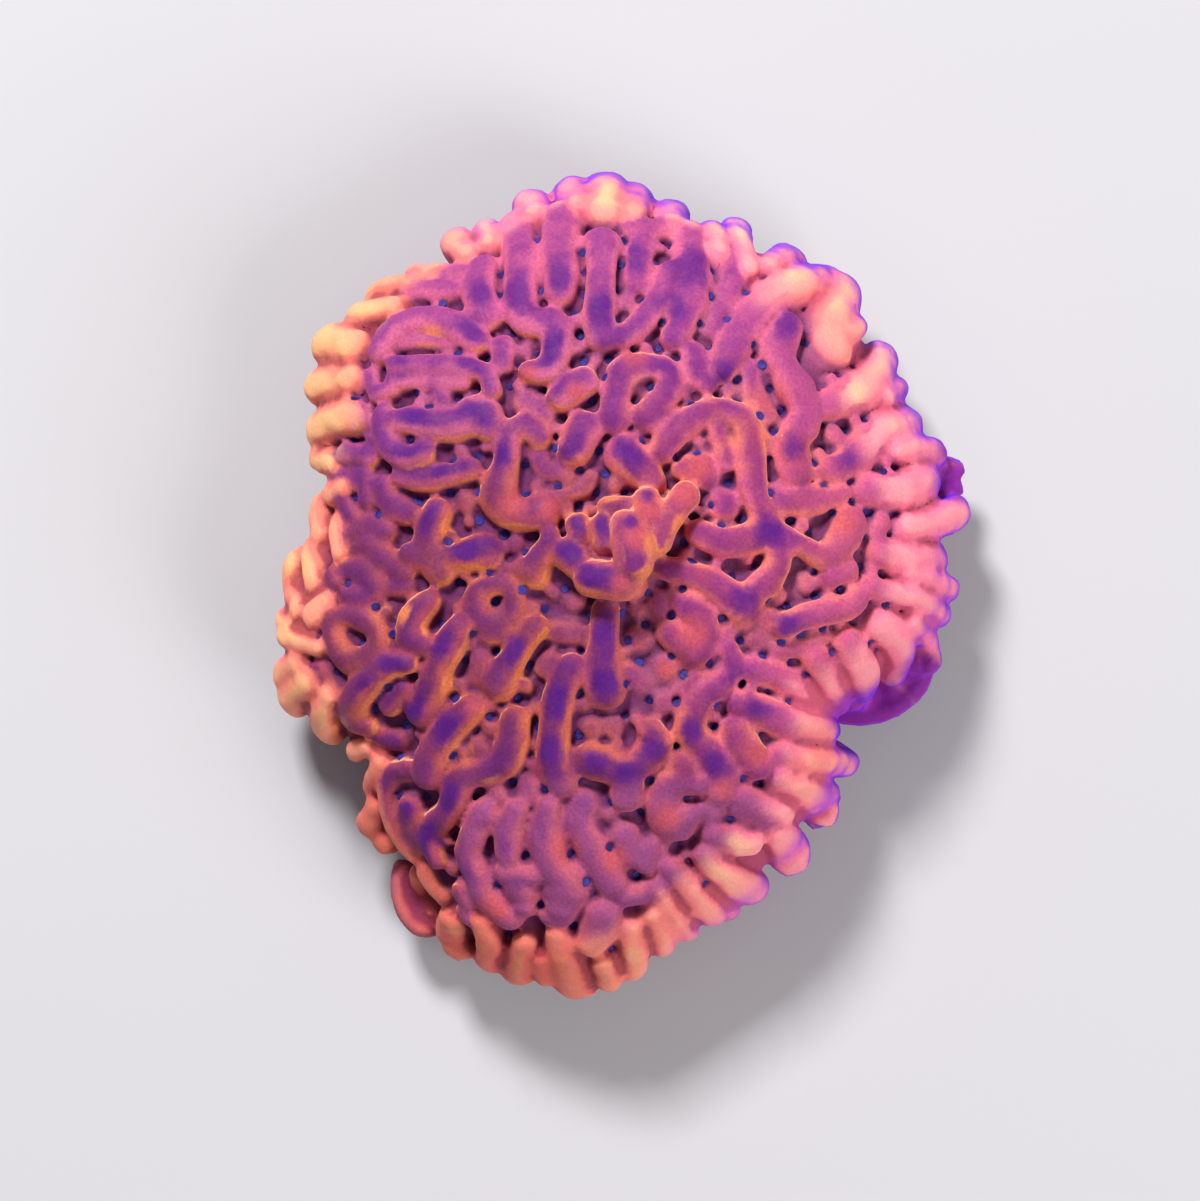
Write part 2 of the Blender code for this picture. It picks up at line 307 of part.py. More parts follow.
SOUTH_EAST = [
    ("tall", (8.3, -0.5, 1.4), (9.7, -1.3, 1.5), (10.2, -3.2, 1.8), (9.2, -4.9, 2.1)),
    ("tall", (9.2, -4.5, 1.9), (8.0, -4.1, 1.5), (6.9, -3.3, 1.2)),
    ("mid", (12.5, -4.6, 0.9), (12.9, -6.2, 1.2), (12.0, -7.8, 1.5)),
    ("tall", (11.4, -8.4, 1.4), (10.2, -9.2, 1.5), (9.4, -10.6, 1.4), (8.8, -12.5, 1.5),
     (10.2, -14.6, 1.6), (11.6, -16.6, 1.7), (12.0, -18.0, 1.8), (11.7, -19.0, 1.5)),
    ("low", (9.2, -7.6, 0.9), (8.8, -8.2, 0.9)),
    ("tall", (13.2, -12.9, 1.4), (14.0, -14.5, 1.8), (15.4, -16.3, 1.6)),
    ("tall", (8.0, -16.2, 1.2), (8.4, -17.5, 1.6), (9.7, -18.1, 1.0)),
    ("tall", (7.6, -17.6, 1.2), (6.4, -18.6, 1.4), (6.4, -20.6, 2.1), (7.4, -22.0, 2.1),
     (8.5, -21.3, 1.3)),
    ("mid", (10.2, -20.4, 1.0), (10.9, -20.9, 1.2)),
    ("rim", (22.0, -11.2, 1.3), (19.8, -9.0, 1.5), (17.8, -7.5, 1.5), (15.0, -6.7, 1.3)),
    ("rim", (22.4, -13.0, 1.5), (19.0, -12.3, 1.7), (16.0, -11.0, 1.6), (13.6, -10.2, 1.3)),
    ("rim", (25.0, -16.4, 1.1), (22.8, -16.1, 1.5), (20.2, -15.8, 1.5), (17.8, -15.2, 1.2)),
    ("rim", (22.4, -21.7, 1.6), (21.9, -20.0, 2.1), (19.8, -18.6, 1.7), (17.6, -17.6, 1.3)),
    ("rim", (18.2, -21.3, 1.2), (16.0, -20.4, 1.4), (13.8, -19.4, 1.2)),
    ("mid", (13.3, -20.2, 1.1), (15.6, -21.2, 1.2), (16.6, -21.8, 1.1)),
    ("rim", (19.4, -26.0, 1.9), (18.5, -24.6, 2.2), (17.4, -22.9, 1.6)),
]
RIDGES = (NORTH + NORTH_RIM + NORTH_EAST + EAST + CENTRE_RIDGES + KNOB + NORTH_WEST + WEST
          + WEST_RIM + SOUTH_WEST + SOUTH + SOUTH_RIM + SOUTH_EAST)


def smooth_between(points, step):
    """Points of a Catmull-Rom curve through points, about step apart."""
    points = [np.array(p, dtype=float) for p in points]
    ends = [points[0] * 2 - points[1]] + points + [points[-1] * 2 - points[-2]]
    curve = []
    for before, start, end, after in zip(ends, ends[1:], ends[2:], ends[3:]):
        count = max(1, round(np.linalg.norm((end - start)[:3]) / step))
        for i in range(count):
            t = i / count
            curve.append(0.5 * (2 * start + (end - before) * t
                                + (2 * before - 5 * start + 4 * end - after) * t**2
                                + (3 * start - before - 3 * end + after) * t**3))
    return curve + [points[-1]]


def outline_table():
    """The outline as rising angles about the plan's centre and the distance out at each."""
    closed = smooth_between(OUTLINE + OUTLINE[:1], 1.0)[:-1]
    x, y = (np.array(closed) - PLAN_CENTRE).T
    angles = np.arctan2(y, x)
    order = np.argsort(angles)
    return angles[order], np.hypot(x, y)[order]


ANGLES, REACHES = outline_table()


def reach(x, y):
    """Distance from the plan's centre to the outline, on the way through (x, y)."""
    return np.interp(np.arctan2(y, x), ANGLES, REACHES, period=math.tau)


def dome_z(distance, edge, inset):
    """Height, distance out from the middle, of the dome shrunk inwards by inset all round."""
    share = min(distance / (edge - inset), 1.0)
    return GIRTH_Z + (CREST_Z - inset - GIRTH_Z) * math.sqrt(1 - share**DOME_POWER)


def flank_share(z):
    """Width of the flank at height z under the girth, as a share of the girth."""
    return 1 - (1 - CUT_WIDTH_SHARE) * ((GIRTH_Z - z) / GIRTH_Z) ** 1.5


def floor_lumps():
    """Small lumps scattered over the wide valley floors, written as the ridges are."""
    draw = random.Random(LUMP_SEED)
    taken = np.array([p[:3] for _, *plan in RIDGES for p in smooth_between(plan, SAMPLE_STEP)])
    lumps = []
    for _ in range(LUMP_TRIES):
        turn = draw.uniform(0, math.tau)
        way = np.array((math.cos(turn), math.sin(turn)))
        place = PLAN_CENTRE + way * reach(*way) * 0.86 * math.sqrt(draw.random())
        gap = (np.hypot(*(taken[:, :2] - place).T) - taken[:, 2]).min()
        if gap < LUMP_GAP:
            continue
        radius = min(gap, LUMP_RADIUS)
        turn = draw.uniform(0, math.tau)
        end = place + np.array((math.cos(turn), math.sin(turn))) * radius * 0.4
        lumps.append(("floor", (*place, radius), (*end, radius * 0.85)))
        taken = np.vstack([taken, (*place, LUMP_SPACING - LUMP_GAP)])
    return lumps


def ridge_line(kind, plan):
    """A ridge's centre line as (x, y, z, radius, foot depth), lobes with their run down the flank."""
    drop = CLASSES[kind][0]
    points = []
    for x, y, radius, *lift in plan:
        dx, dy = x - PLAN_CENTRE[0], y - PLAN_CENTRE[1]
        swell = 1 + UNEVEN * noise.noise(Vector((dx, dy, 0)) / UNEVEN_STEP)
        z = dome_z(math.hypot(dx, dy), reach(dx, dy), radius) - drop + sum(lift)
        foot = VALLEY_DEPTH + ROOT - radius * TALL + sum(lift)
        points.append((dx, dy, z, radius * swell, foot))
    x, y, z, radius, foot = points[0]
    outer = math.hypot(x, y)
    edge = reach(x, y)
    if kind not in ("rim", "shelf") or outer < 0.85 * edge:
        return points
    tail = []
    for i in range(TAIL_STEPS, 0, -1):
        share = i / TAIL_STEPS
        low = z + (TAIL_END_Z - z) * share
        narrow = radius * (1 - TAIL_TAPER * share)
        out = min((edge - VALLEY_DEPTH) * flank_share(min(low, GIRTH_Z)) + narrow * 0.4, outer)
        tail.append((x * out / outer, y * out / outer, low, narrow, foot))
    return tail + points


def round_ends(points):
    """Adds a half ball's worth of narrowing points beyond each end of a centre line."""
    def cap(end, neighbour):
        along = (end - neighbour)[:3]
        along /= np.linalg.norm(along)
        for degrees in (35, 62, 84):
            turn = math.radians(degrees)
            centre = end[:3] + along * end[3] * math.sin(turn)
            yield np.array((*centre, end[3] * math.cos(turn), end[4]))
    return list(cap(points[0], points[1]))[::-1] + points + list(cap(points[-1], points[-2]))


def section(kind, radius, foot):
    """A ridge's section as (sideways, outwards): a rounded top on steeper flanks."""
    half = radius * CLASSES[kind][1]
    sides = []
    for i in range(SECTION_SIDES):
        turn = math.tau * i / SECTION_SIDES
        across, up = math.cos(turn), math.sin(turn)
        if up < 0:
            across = math.copysign(abs(across) ** FOOT_ROUND, across)
        sides.append((half * across, up * (radius * TALL if up > 0 else foot)))
    return sides


def add_ridge(bm, kind, plan):
    """One ridge: sections along its line, each standing out from the colony's core."""
    points = round_ends(smooth_between(ridge_line(kind, plan), SAMPLE_STEP))
    rings = []
    for i, p in enumerate(points):
        place = Vector(p[:3])
        along = Vector((points[min(i + 1, len(points) - 1)] - points[max(i - 1, 0)])[:3]).normalized()
        core = Vector((p[0] * CORE[0], p[1] * CORE[1], CORE[2]))
        side = along.cross(place - core).normalized()
        out = side.cross(along)
        foot = p[4] * min(1.0, p[3] / CAP_FOOT)
        ring = [place + side * s + out * o for s, o in section(kind, p[3], foot)]
        rings.append([bm.verts.new(v * MM) for v in ring])
    for first, second in zip(rings, rings[1:]):
        for j in range(SECTION_SIDES):
            k = (j + 1) % SECTION_SIDES
            bm.faces.new((first[j], first[k], second[k], second[j]))
    bm.faces.new(rings[0][::-1])
    bm.faces.new(rings[-1])


def add_dome(bm):
    """The closed dome of the valley floors, down past the cut."""
    turns = [math.tau * i / DOME_SIDES for i in range(DOME_SIDES)]
    ways = [(math.cos(turn), math.sin(turn)) for turn in turns]
    loops = []
    for share in (0.15, 0.35, 0.55, 0.7, 0.8, 0.88, 0.94, 0.98):
        loop = []
        for x, y in ways:
            edge = reach(x, y)
            out = (edge - VALLEY_DEPTH) * share
            loop.append(Vector((out * x, out * y, dome_z(out, edge, VALLEY_DEPTH))))
        loops.append(loop)
    for z in (GIRTH_Z, 6.5, 4.0, 1.5, -2.0):
        widths = [(reach(x, y) - VALLEY_DEPTH) * flank_share(z) for x, y in ways]
        loops.append([Vector((x * w, y * w, z)) for (x, y), w in zip(ways, widths)])
    loops = [[bm.verts.new(v * MM) for v in loop] for loop in loops]
    for upper, lower in zip(loops, loops[1:]):
        for i in range(DOME_SIDES):
            j = (i + 1) % DOME_SIDES
            bm.faces.new((upper[i], lower[i], lower[j], upper[j]))
    bm.faces.new(loops[0])
    bm.faces.new(loops[-1][::-1])


def tissue_material():
    """Living tissue: mauve to salmon, with a soft wet sheen."""
    material = bpy.data.materials.new("coral_tissue")
    material.use_nodes = True
    shader = material.node_tree.nodes["Principled BSDF"]
    shader.inputs["Base Color"].default_value = (0.55, 0.16, 0.28, 1)
    shader.inputs["Roughness"].default_value = 0.5
    return material


def below_cut():
    """Everything under the flat cut, as a cutter."""
    bm = bmesh.new()
    bmesh.ops.create_cube(bm, size=1)
    bmesh.ops.scale(bm, vec=Vector((120, 120, 20)) * MM, verts=bm.verts)
    bmesh.ops.translate(bm, vec=Vector((0, 0, -10)) * MM, verts=bm.verts)
    mesh = bpy.data.meshes.new("below_cut")
    bm.to_mesh(mesh)
    bm.free()
    cutter = bpy.data.objects.new("below_cut", mesh)
    cutter.hide_render = True
    cutter.display_type = "WIRE"
    bpy.context.scene.collection.objects.link(cutter)
    return cutter


def keep_largest(mesh):
    """Deletes every separate scrap of the mesh but the largest."""
    bm = bmesh.new()
    bm.from_mesh(mesh)
    left = set(bm.verts)
    pieces = []
    while left:
        piece = {left.pop()}
        front = set(piece)
        while front:
            front = {edge.other_vert(vert) for vert in front for edge in vert.link_edges} & left
            left -= front
            piece |= front
        pieces.append(piece)
    pieces.sort(key=len)
    bmesh.ops.delete(bm, geom=[v for piece in pieces[:-1] for v in piece], context="VERTS")
    bm.to_mesh(mesh)
    bm.free()


def fused(mesh):
    """The overlapping tubes and dome of mesh as one skin, with its creases softened."""
    holder = bpy.data.objects.new("overlapping", mesh)
    bpy.context.scene.collection.objects.link(holder)
    fuse = holder.modifiers.new("fuse", "REMESH")
    fuse.mode = "VOXEL"
    fuse.voxel_size = GRAIN * MM
    soften = holder.modifiers.new("soften", "SMOOTH")
    soften.factor = 0.5
    soften.iterations = SOFTEN_ROUNDS
    depsgraph = bpy.context.evaluated_depsgraph_get()
    skin = bpy.data.meshes.new_from_object(holder.evaluated_get(depsgraph))
    bpy.data.objects.remove(holder)
    keep_largest(skin)
    return skin


def coral_colony():
    """The whole colony: dome and ridges fused, thinned to few faces and cut flat."""
    bm = bmesh.new()
    for kind, *plan in RIDGES + floor_lumps():
        add_ridge(bm, kind, plan)
    add_dome(bm)
    mesh = bpy.data.meshes.new("overlapping")
    bm.to_mesh(mesh)
    bm.free()
    skin = fused(mesh)
    skin.name = "coral_colony"
    colony = bpy.data.objects.new("coral_colony", skin)
    bpy.context.scene.collection.objects.link(colony)
    skin.materials.clear()
    skin.materials.append(tissue_material())
    thin = colony.modifiers.new("thin", "DECIMATE")
    thin.ratio = FACE_SHARE
    cut = colony.modifiers.new("cut", "BOOLEAN")
    cut.operation = "DIFFERENCE"
    cut.object = below_cut()
    return colony


for old in list(bpy.data.objects):
    bpy.data.objects.remove(old)
coral_colony()
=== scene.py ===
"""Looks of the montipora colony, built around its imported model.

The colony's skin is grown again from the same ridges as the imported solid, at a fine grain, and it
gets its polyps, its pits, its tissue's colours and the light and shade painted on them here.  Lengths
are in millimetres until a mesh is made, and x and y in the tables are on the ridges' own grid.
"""

import math
import random

import bmesh
import bpy
import numpy as np
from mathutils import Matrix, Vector, noise
from mathutils.kdtree import KDTree


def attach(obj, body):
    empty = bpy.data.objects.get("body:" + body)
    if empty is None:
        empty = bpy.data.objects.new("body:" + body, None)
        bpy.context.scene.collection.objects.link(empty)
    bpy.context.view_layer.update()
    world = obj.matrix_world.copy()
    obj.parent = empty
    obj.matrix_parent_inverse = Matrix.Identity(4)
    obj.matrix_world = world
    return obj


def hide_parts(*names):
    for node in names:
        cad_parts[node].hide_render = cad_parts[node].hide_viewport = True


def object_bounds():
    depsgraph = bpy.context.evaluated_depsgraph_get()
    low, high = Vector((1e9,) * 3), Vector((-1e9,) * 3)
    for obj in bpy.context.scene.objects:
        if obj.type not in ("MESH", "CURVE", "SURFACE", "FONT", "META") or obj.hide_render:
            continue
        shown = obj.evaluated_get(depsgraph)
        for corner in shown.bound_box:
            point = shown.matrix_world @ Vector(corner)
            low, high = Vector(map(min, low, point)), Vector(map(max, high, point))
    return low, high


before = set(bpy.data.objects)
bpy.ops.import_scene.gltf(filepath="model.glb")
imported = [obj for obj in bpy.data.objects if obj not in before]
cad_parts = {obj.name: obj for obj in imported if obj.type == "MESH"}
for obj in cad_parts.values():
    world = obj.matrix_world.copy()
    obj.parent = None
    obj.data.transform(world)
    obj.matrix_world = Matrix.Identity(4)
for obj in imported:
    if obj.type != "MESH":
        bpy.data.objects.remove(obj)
cad_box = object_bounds()

MM = 0.001

# The colony's form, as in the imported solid
PLAN_CENTRE = (2.2, 1.5)    # middle of the plan in the ridges' own grid
CREST_Z = 25.0              # top of the tall ridges in the middle, above the cut
GIRTH_Z = 8.5               # height at which the colony is widest
VALLEY_DEPTH = 2.3          # tall ridge top down to the valley floor
DOME_POWER = 2.6            # how flat the top is
CUT_WIDTH_SHARE = 0.82      # width of the cut face as a share of the girth
CORE = (0.45, 0.45, 4.0)    # ridges stand out from a core: shares of x and y, and a height
TALL = 0.92                 # a ridge's top above its centre line, as a share of its radius
FOOT_ROUND = 0.6            # how round its sides are below its centre line
ROOT = 0.8                  # how far its foot goes under the valley floor
UNEVEN = 0.16               # how much it swells and narrows along its length
UNEVEN_STEP = 4.0           # over about this length
TAIL_END_Z = 2.5            # margin lobes run down the flank to this height
TAIL_STEPS = 3
TAIL_TAPER = 0.45
CAP_FOOT = 0.6              # a foot draws in where its ridge's radius falls below this

# Each height class: how far its ridges' tops are below the dome, and their half width as a share
# of their radius
CLASSES = {
    "tall": (0.0, 1.13), "mid": (0.6, 1.16), "low": (1.1, 1.16), "rim": (0.2, 1.1),
    "shelf": (2.4, 1.1), "fold": (0.0, 1.1), "knob": (0.0, 1.04), "floor": (1.2, 1.12),
}

LUMP_TRIES = 9000           # places tried for the small lumps on the wide valley floors
LUMP_SEED = 5
LUMP_GAP = 0.5              # least room from a lump's middle to a ridge
LUMP_RADIUS = 1.15          # largest lump
LUMP_SPACING = 2.0
PLAN_STEP = 0.8

# The fine skin
SAMPLE_STEP = 0.6           # spacing of the points along a ridge
SECTION_SIDES = 20
DOME_SIDES = 160
GRAIN = 0.31                # size of the cells that fuse the ridges to the dome
SOFTEN_ROUNDS = 2
SKIN_TRIANGLES = 190000     # most that the skin keeps
SWELL = 0.14                # height of the skin's soft unevenness
SWELL_STEP = 1.5            # over about this length
GRIT = 0.03                 # height of its finer unevenness
GRIT_STEP = 0.6
CUT_EDGE = 0.05             # points lower than this stay where the cut has them
CUT_FADE = 1.5              # height above the cut where the unevenness is whole
FILL = 0.4                  # how far the creases between lobes are filled, less in the south
HOLLOW_ROUNDS = 14          # averaging that tells the hollows from the bulges
CREST_ROUNDS = 4            # averaging that blends the crests' colour where ridges meet

# Polyps
POLYP_RADIUS = 0.43
POLYP_SPACING = 2.1
POLYP_MARGIN = 4.5          # how far they stay inside the outline
POLYP_LOWEST = 3.0          # and above the cut
POLYP_GAP = 0.45            # how far from a ridge most of them are
PIT_RADIUS = 0.75
PIT_DEPTH = 0.35
TENTACLES = 12
POLYP_RINGS = [             # out, up, how far the tentacles wave it and how much it is foot, painted darker as shade
    (1.12, -0.5, 0.0, 1.0), (1.0, -0.1, 0.3, 0.8), (0.94, 0.22, 1.0, 0.2), (0.78, 0.32, 1.0, 0.0),
    (0.55, 0.2, 0.2, 0.0), (0.3, 0.26, 0.0, 0.0), (0.14, 0.2, 0.0, 0.0),
]

# The studio, in metres and watts
FLOOR_HALF = 0.6
CAMERA_LENS = 200           # millimetres, as Blender has it
CAMERA_SENSOR = 36
CAMERA_AWAY = 0.667
KEY_LIGHT = ("key", (-0.25, 0.62, 0.68), 0.2, 11.0)     # its name, place, width and power
FILL_LIGHT = ("fill", (0.55, -0.4, 0.5), 0.45, 4.4)
SKY_STRENGTH = 0.23

# Plan of the dome, going clockwise from the top
OUTLINE = [
    (0.5, 43.3), (8.0, 40.0), (14.0, 38.2), (20.5, 35.0), (25.5, 31.0), (28.7, 26.0), (31.2, 21.0),
    (33.0, 17.0), (34.6, 12.5), (35.6, 8.0), (35.2, 4.0), (35.3, 0.0), (33.6, -4.0), (31.0, -7.8),
    (27.0, -10.4), (24.2, -12.5), (25.0, -16.0), (23.2, -21.0), (20.5, -25.5), (17.5, -28.8),
    (13.0, -32.2), (8.0, -35.0), (3.5, -38.2), (-1.0, -40.5), (-5.0, -39.3), (-10.0, -37.8),
    (-15.0, -34.8), (-18.0, -30.5), (-20.0, -27.0), (-23.0, -23.5), (-23.8, -19.5), (-26.5, -15.2),
    (-31.5, -10.8), (-33.0, -6.0), (-32.4, -1.0), (-30.5, 5.0), (-29.0, 10.0), (-29.5, 17.0),
    (-29.3, 22.5), (-27.3, 27.3), (-22.0, 32.0), (-16.0, 35.5), (-10.5, 38.5), (-5.5, 41.3),
]

# Each ridge: its height class, then its points as (x, y, radius).  A rim or shelf lobe starts
# at its outer end.  The knob's fingers have a fourth number, their lift above the dome.
NORTH = [
    ("tall", (-11.5, 33.0, 1.7), (-11.9, 30.5, 1.75), (-11.2, 28.0, 1.5)),
    ("tall", (-8.2, 37.3, 2.0), (-7.7, 34.5, 1.8), (-7.7, 31.5, 1.8), (-7.8, 28.8, 1.7), (-6.6, 27.4, 1.5),
     (-4.6, 27.0, 1.6), (-4.3, 24.9, 1.4), (-5.0, 22.8, 1.3), (-7.2, 22.7, 1.0)),
    ("tall", (-3.5, 38.0, 2.1), (-3.9, 35.0, 1.8), (-3.8, 32.0, 1.8), (-3.9, 30.4, 1.6)),
    ("tall", (0.2, 35.3, 1.8), (0.1, 32.7, 1.15), (0.0, 30.3, 1.4), (0.0, 27.5, 1.6), (0.2, 25.8, 1.4)),
    ("mid", (4.3, 36.4, 1.6), (3.8, 33.5, 1.4), (3.6, 31.2, 1.2)),
    ("mid", (3.2, 36.8, 1.2), (6.5, 36.8, 1.4), (8.6, 36.6, 1.5)),
    ("tall", (8.8, 36.2, 1.9), (9.0, 33.0, 2.1), (8.8, 30.0, 1.9), (8.0, 27.5, 1.6), (7.2, 25.8, 1.2)),
    ("tall", (7.0, 32.5, 1.3), (5.8, 29.6, 1.3), (3.8, 27.2, 1.3), (2.2, 25.9, 1.2)),
    ("low", (13.4, 34.0, 1.3), (12.9, 31.0, 1.4), (11.7, 28.0, 1.3), (11.0, 26.6, 1.0)),
    ("mid", (9.2, 24.2, 1.3), (9.6, 22.3, 1.35), (10.5, 21.2, 1.0)),
    ("mid", (-9.6, 25.1, 1.2), (-9.5, 23.3, 1.2)),
    ("mid", (-16.2, 32.7, 1.1), (-13.9, 32.4, 1.0)),
    ("mid", (-18.4, 31.0, 1.7), (-15.0, 30.4, 1.6)),
]
NORTH_RIM = [
    ("rim", (-22.3, 30.8, 1.4), (-19.5, 31.6, 1.2)),
    ("rim", (-18.6, 33.0, 1.0), (-16.9, 32.6, 1.0)),
    ("rim", (-14.4, 36.0, 1.6), (-13.0, 34.3, 1.2)),
    ("rim", (-11.3, 37.1, 1.3), (-10.9, 35.5, 1.0)),
    ("rim", (-7.0, 39.8, 1.7), (-6.2, 38.5, 1.4)),
    ("rim", (-2.7, 41.0, 1.9), (-2.0, 39.0, 1.6)),
    ("rim", (0.6, 41.0, 2.2), (0.5, 38.5, 2.0)),
    ("rim", (3.2, 40.2, 2.1), (2.8, 38.3, 1.6)),
    ("rim", (7.0, 38.7, 1.9), (7.0, 37.4, 1.5)),
    ("rim", (11.2, 36.5, 1.5), (11.6, 34.8, 1.1)),
    ("rim", (13.6, 37.3, 1.4), (13.9, 35.5, 1.3), (14.7, 33.0, 1.2)),
]
NORTH_EAST = [
    ("fold", (22.5, 32.0, 2.0), (19.5, 31.3, 1.9), (16.8, 29.9, 1.8), (14.5, 27.5, 1.7), (12.8, 24.5, 1.6),
     (12.2, 22.9, 1.2)),
    ("rim", (24.2, 31.2, 2.2), (22.9, 28.0, 2.7), (22.6, 25.0, 2.4)),
    ("rim", (18.7, 34.1, 1.9), (16.8, 33.2, 1.2)),
    ("tall", (18.6, 27.2, 1.5), (17.5, 24.9, 1.9), (18.2, 22.8, 1.6), (19.3, 20.8, 1.8), (20.3, 18.6, 1.6),
     (20.4, 16.8, 1.3)),
    ("tall", (19.6, 17.3, 1.5), (18.7, 15.0, 1.8), (19.3, 12.9, 1.7)),
    ("low", (14.8, 22.6, 1.2), (15.0, 20.4, 1.5), (16.4, 18.2, 1.2)),
    ("rim", (28.2, 24.4, 1.8), (27.2, 22.1, 2.0), (25.0, 20.5, 1.9), (22.6, 19.3, 1.4)),
    ("rim", (25.6, 27.4, 1.1), (24.6, 26.6, 1.1)),
    ("rim", (29.8, 21.4, 1.3), (28.4, 20.4, 1.0)),
    ("rim", (30.5, 17.6, 2.0), (28.0, 16.9, 2.0), (25.8, 15.0, 1.9), (24.0, 13.4, 1.7), (22.4, 12.8, 1.2)),
    ("rim", (33.6, 14.8, 1.4), (31.0, 15.2, 1.3), (29.5, 15.0, 1.0)),
    ("shelf", (35.8, 13.4, 1.2), (34.4, 13.2, 1.3)),
    ("shelf", (36.1, 11.5, 1.1), (34.6, 11.6, 1.2)),
    ("rim", (28.4, 10.9, 2.1), (26.2, 10.8, 1.4)),
    ("rim", (32.0, 12.0, 2.2), (29.5, 10.8, 1.8)),
]
EAST = [
    ("rim", (35.8, 9.0, 1.7), (33.0, 7.7, 1.5), (30.4, 7.4, 1.2)),
    ("low", (27.8, 7.8, 1.1), (27.2, 6.3, 0.9)),
    ("rim", (33.0, 4.2, 1.9), (30.2, 4.2, 1.7), (27.6, 4.8, 1.2)),
    ("rim", (35.2, 1.1, 1.1), (32.8, 2.1, 1.1), (30.5, 2.7, 0.9)),
    ("rim", (34.2, -1.5, 1.3), (32.0, 0.1, 1.2), (29.3, 0.7, 1.1), (26.8, 1.4, 1.0)),
    ("mid", (18.0, 9.6, 1.3), (20.3, 9.8, 1.4), (22.6, 10.1, 1.1), (24.2, 10.6, 0.8)),
    ("tall", (24.6, 7.7, 2.0), (23.7, 5.7, 1.6), (22.0, 4.4, 1.2), (19.8, 5.4, 1.0), (18.0, 6.2, 1.2)),
    ("mid", (24.3, 3.1, 1.2), (22.5, 2.3, 1.2)),
    ("tall", (25.4, 0.3, 1.3), (24.4, -0.6, 1.3), (22.3, -1.1, 1.3), (19.6, -1.8, 1.3), (18.0, -2.6, 1.3)),
    ("fold", (26.4, -9.0, 1.3), (26.2, -7.2, 1.7), (25.2, -5.4, 1.7), (24.4, -4.0, 1.4)),
    ("fold", (23.8, -10.2, 1.3), (22.7, -8.0, 1.5), (21.4, -5.7, 1.3)),
    ("fold", (29.4, -7.2, 1.5), (29.9, -5.2, 1.9), (29.2, -3.3, 1.9), (27.4, -2.2, 1.7)),
    ("rim", (33.0, -6.6, 1.2), (33.1, -4.8, 1.2), (32.3, -3.2, 1.3), (30.9, -2.0, 1.2)),
    ("shelf", (24.3, -11.4, 1.0), (27.0, -11.6, 1.1), (29.6, -10.7, 1.2), (31.6, -9.0, 1.2),
     (32.8, -6.9, 1.1)),
    ("shelf", (24.8, -9.8, 1.3), (27.4, -9.6, 1.4), (29.8, -8.4, 1.5), (31.2, -6.6, 1.3)),
    ("low", (17.4, -4.6, 1.1), (20.0, -4.4, 1.1), (22.0, -3.4, 0.8)),
]
CENTRE_RIDGES = [
    ("tall", (-3.9, 20.0, 1.3), (-1.6, 21.6, 1.5)),
    ("tall", (-1.5, 17.0, 1.8), (-2.7, 14.6, 1.5)),
    ("tall", (1.3, 17.8, 1.4), (1.7, 20.5, 1.5), (2.5, 22.5, 1.5), (4.8, 23.0, 1.25), (6.6, 22.6, 1.3),
     (6.8, 21.2, 1.3), (6.0, 19.6, 1.4), (4.6, 18.0, 1.5)),
    ("tall", (2.6, 14.4, 2.3), (4.0, 12.8, 1.8), (5.4, 11.6, 1.0)),
    ("tall", (11.2, 19.0, 1.0), (10.0, 18.4, 1.3), (8.2, 17.4, 1.4), (6.6, 15.6, 1.3), (6.2, 14.8, 1.1)),
    ("tall", (11.2, 19.0, 1.0), (12.2, 18.6, 1.3), (13.9, 17.9, 1.5), (14.6, 16.0, 1.4), (14.9, 13.5, 1.35),
     (15.0, 11.5, 1.3), (15.7, 9.5, 1.2), (16.6, 7.2, 1.6)),
    ("mid", (11.3, 18.2, 1.0), (11.6, 16.4, 0.9), (12.2, 14.6, 0.8), (12.5, 13.3, 0.7)),
    ("mid", (8.0, 12.8, 1.0), (9.9, 13.2, 1.5), (10.3, 12.2, 1.4)),
    ("mid", (12.0, 9.6, 1.7), (12.3, 9.0, 1.5)),
    ("tall", (9.5, 6.8, 1.2), (12.0, 5.8, 1.3), (14.5, 6.0, 1.5), (16.5, 6.8, 1.7)),
    ("tall", (6.2, 3.2, 1.1), (8.6, 2.7, 1.3), (11.0, 1.6, 1.4), (12.8, 0.3, 1.6), (14.0, -0.6, 1.9)),
    ("tall", (16.6, 6.6, 1.2), (17.6, 4.5, 1.2), (16.9, 2.4, 1.3), (15.0, 0.6, 1.3)),
    ("low", (16.4, -1.4, 1.0), (15.4, -3.5, 1.7)),
    ("low", (5.7, 0.2, 1.1), (5.7, -1.6, 1.1)),
]
KNOB = [
    ("knob", (8.4, 10.4, 1.35, 1.4), (6.9, 8.2, 1.35, 2.8), (5.4, 5.8, 1.5, 3.4)),
    ("knob", (4.5, 9.9, 1.45, 1.8), (4.7, 8.2, 1.3, 3.0)),
    ("knob", (2.6, 7.4, 1.5, 3.6), (3.2, 5.6, 1.9, 5.0), (3.4, 3.8, 1.8, 5.2)),
    ("knob", (0.2, 7.5, 1.2, 1.4), (0.4, 5.6, 1.1, 2.2)),
    ("knob", (-2.2, 7.5, 1.3, 0.6), (-1.9, 6.3, 1.0, 0.8)),
    ("knob", (-3.1, 4.6, 1.7, 1.2), (-2.2, 3.6, 1.5, 1.8)),
    ("knob", (-0.9, 2.2, 1.85, 3.4), (2.0, 1.8, 1.85, 4.2)),
    ("knob", (0.6, 9.2, 1.0, 0.4), (2.6, 9.4, 0.95, 0.8)),
    ("knob", (1.4, 4.4, 1.4, 0.6), (3.4, 6.0, 1.6, 1.0)),
]
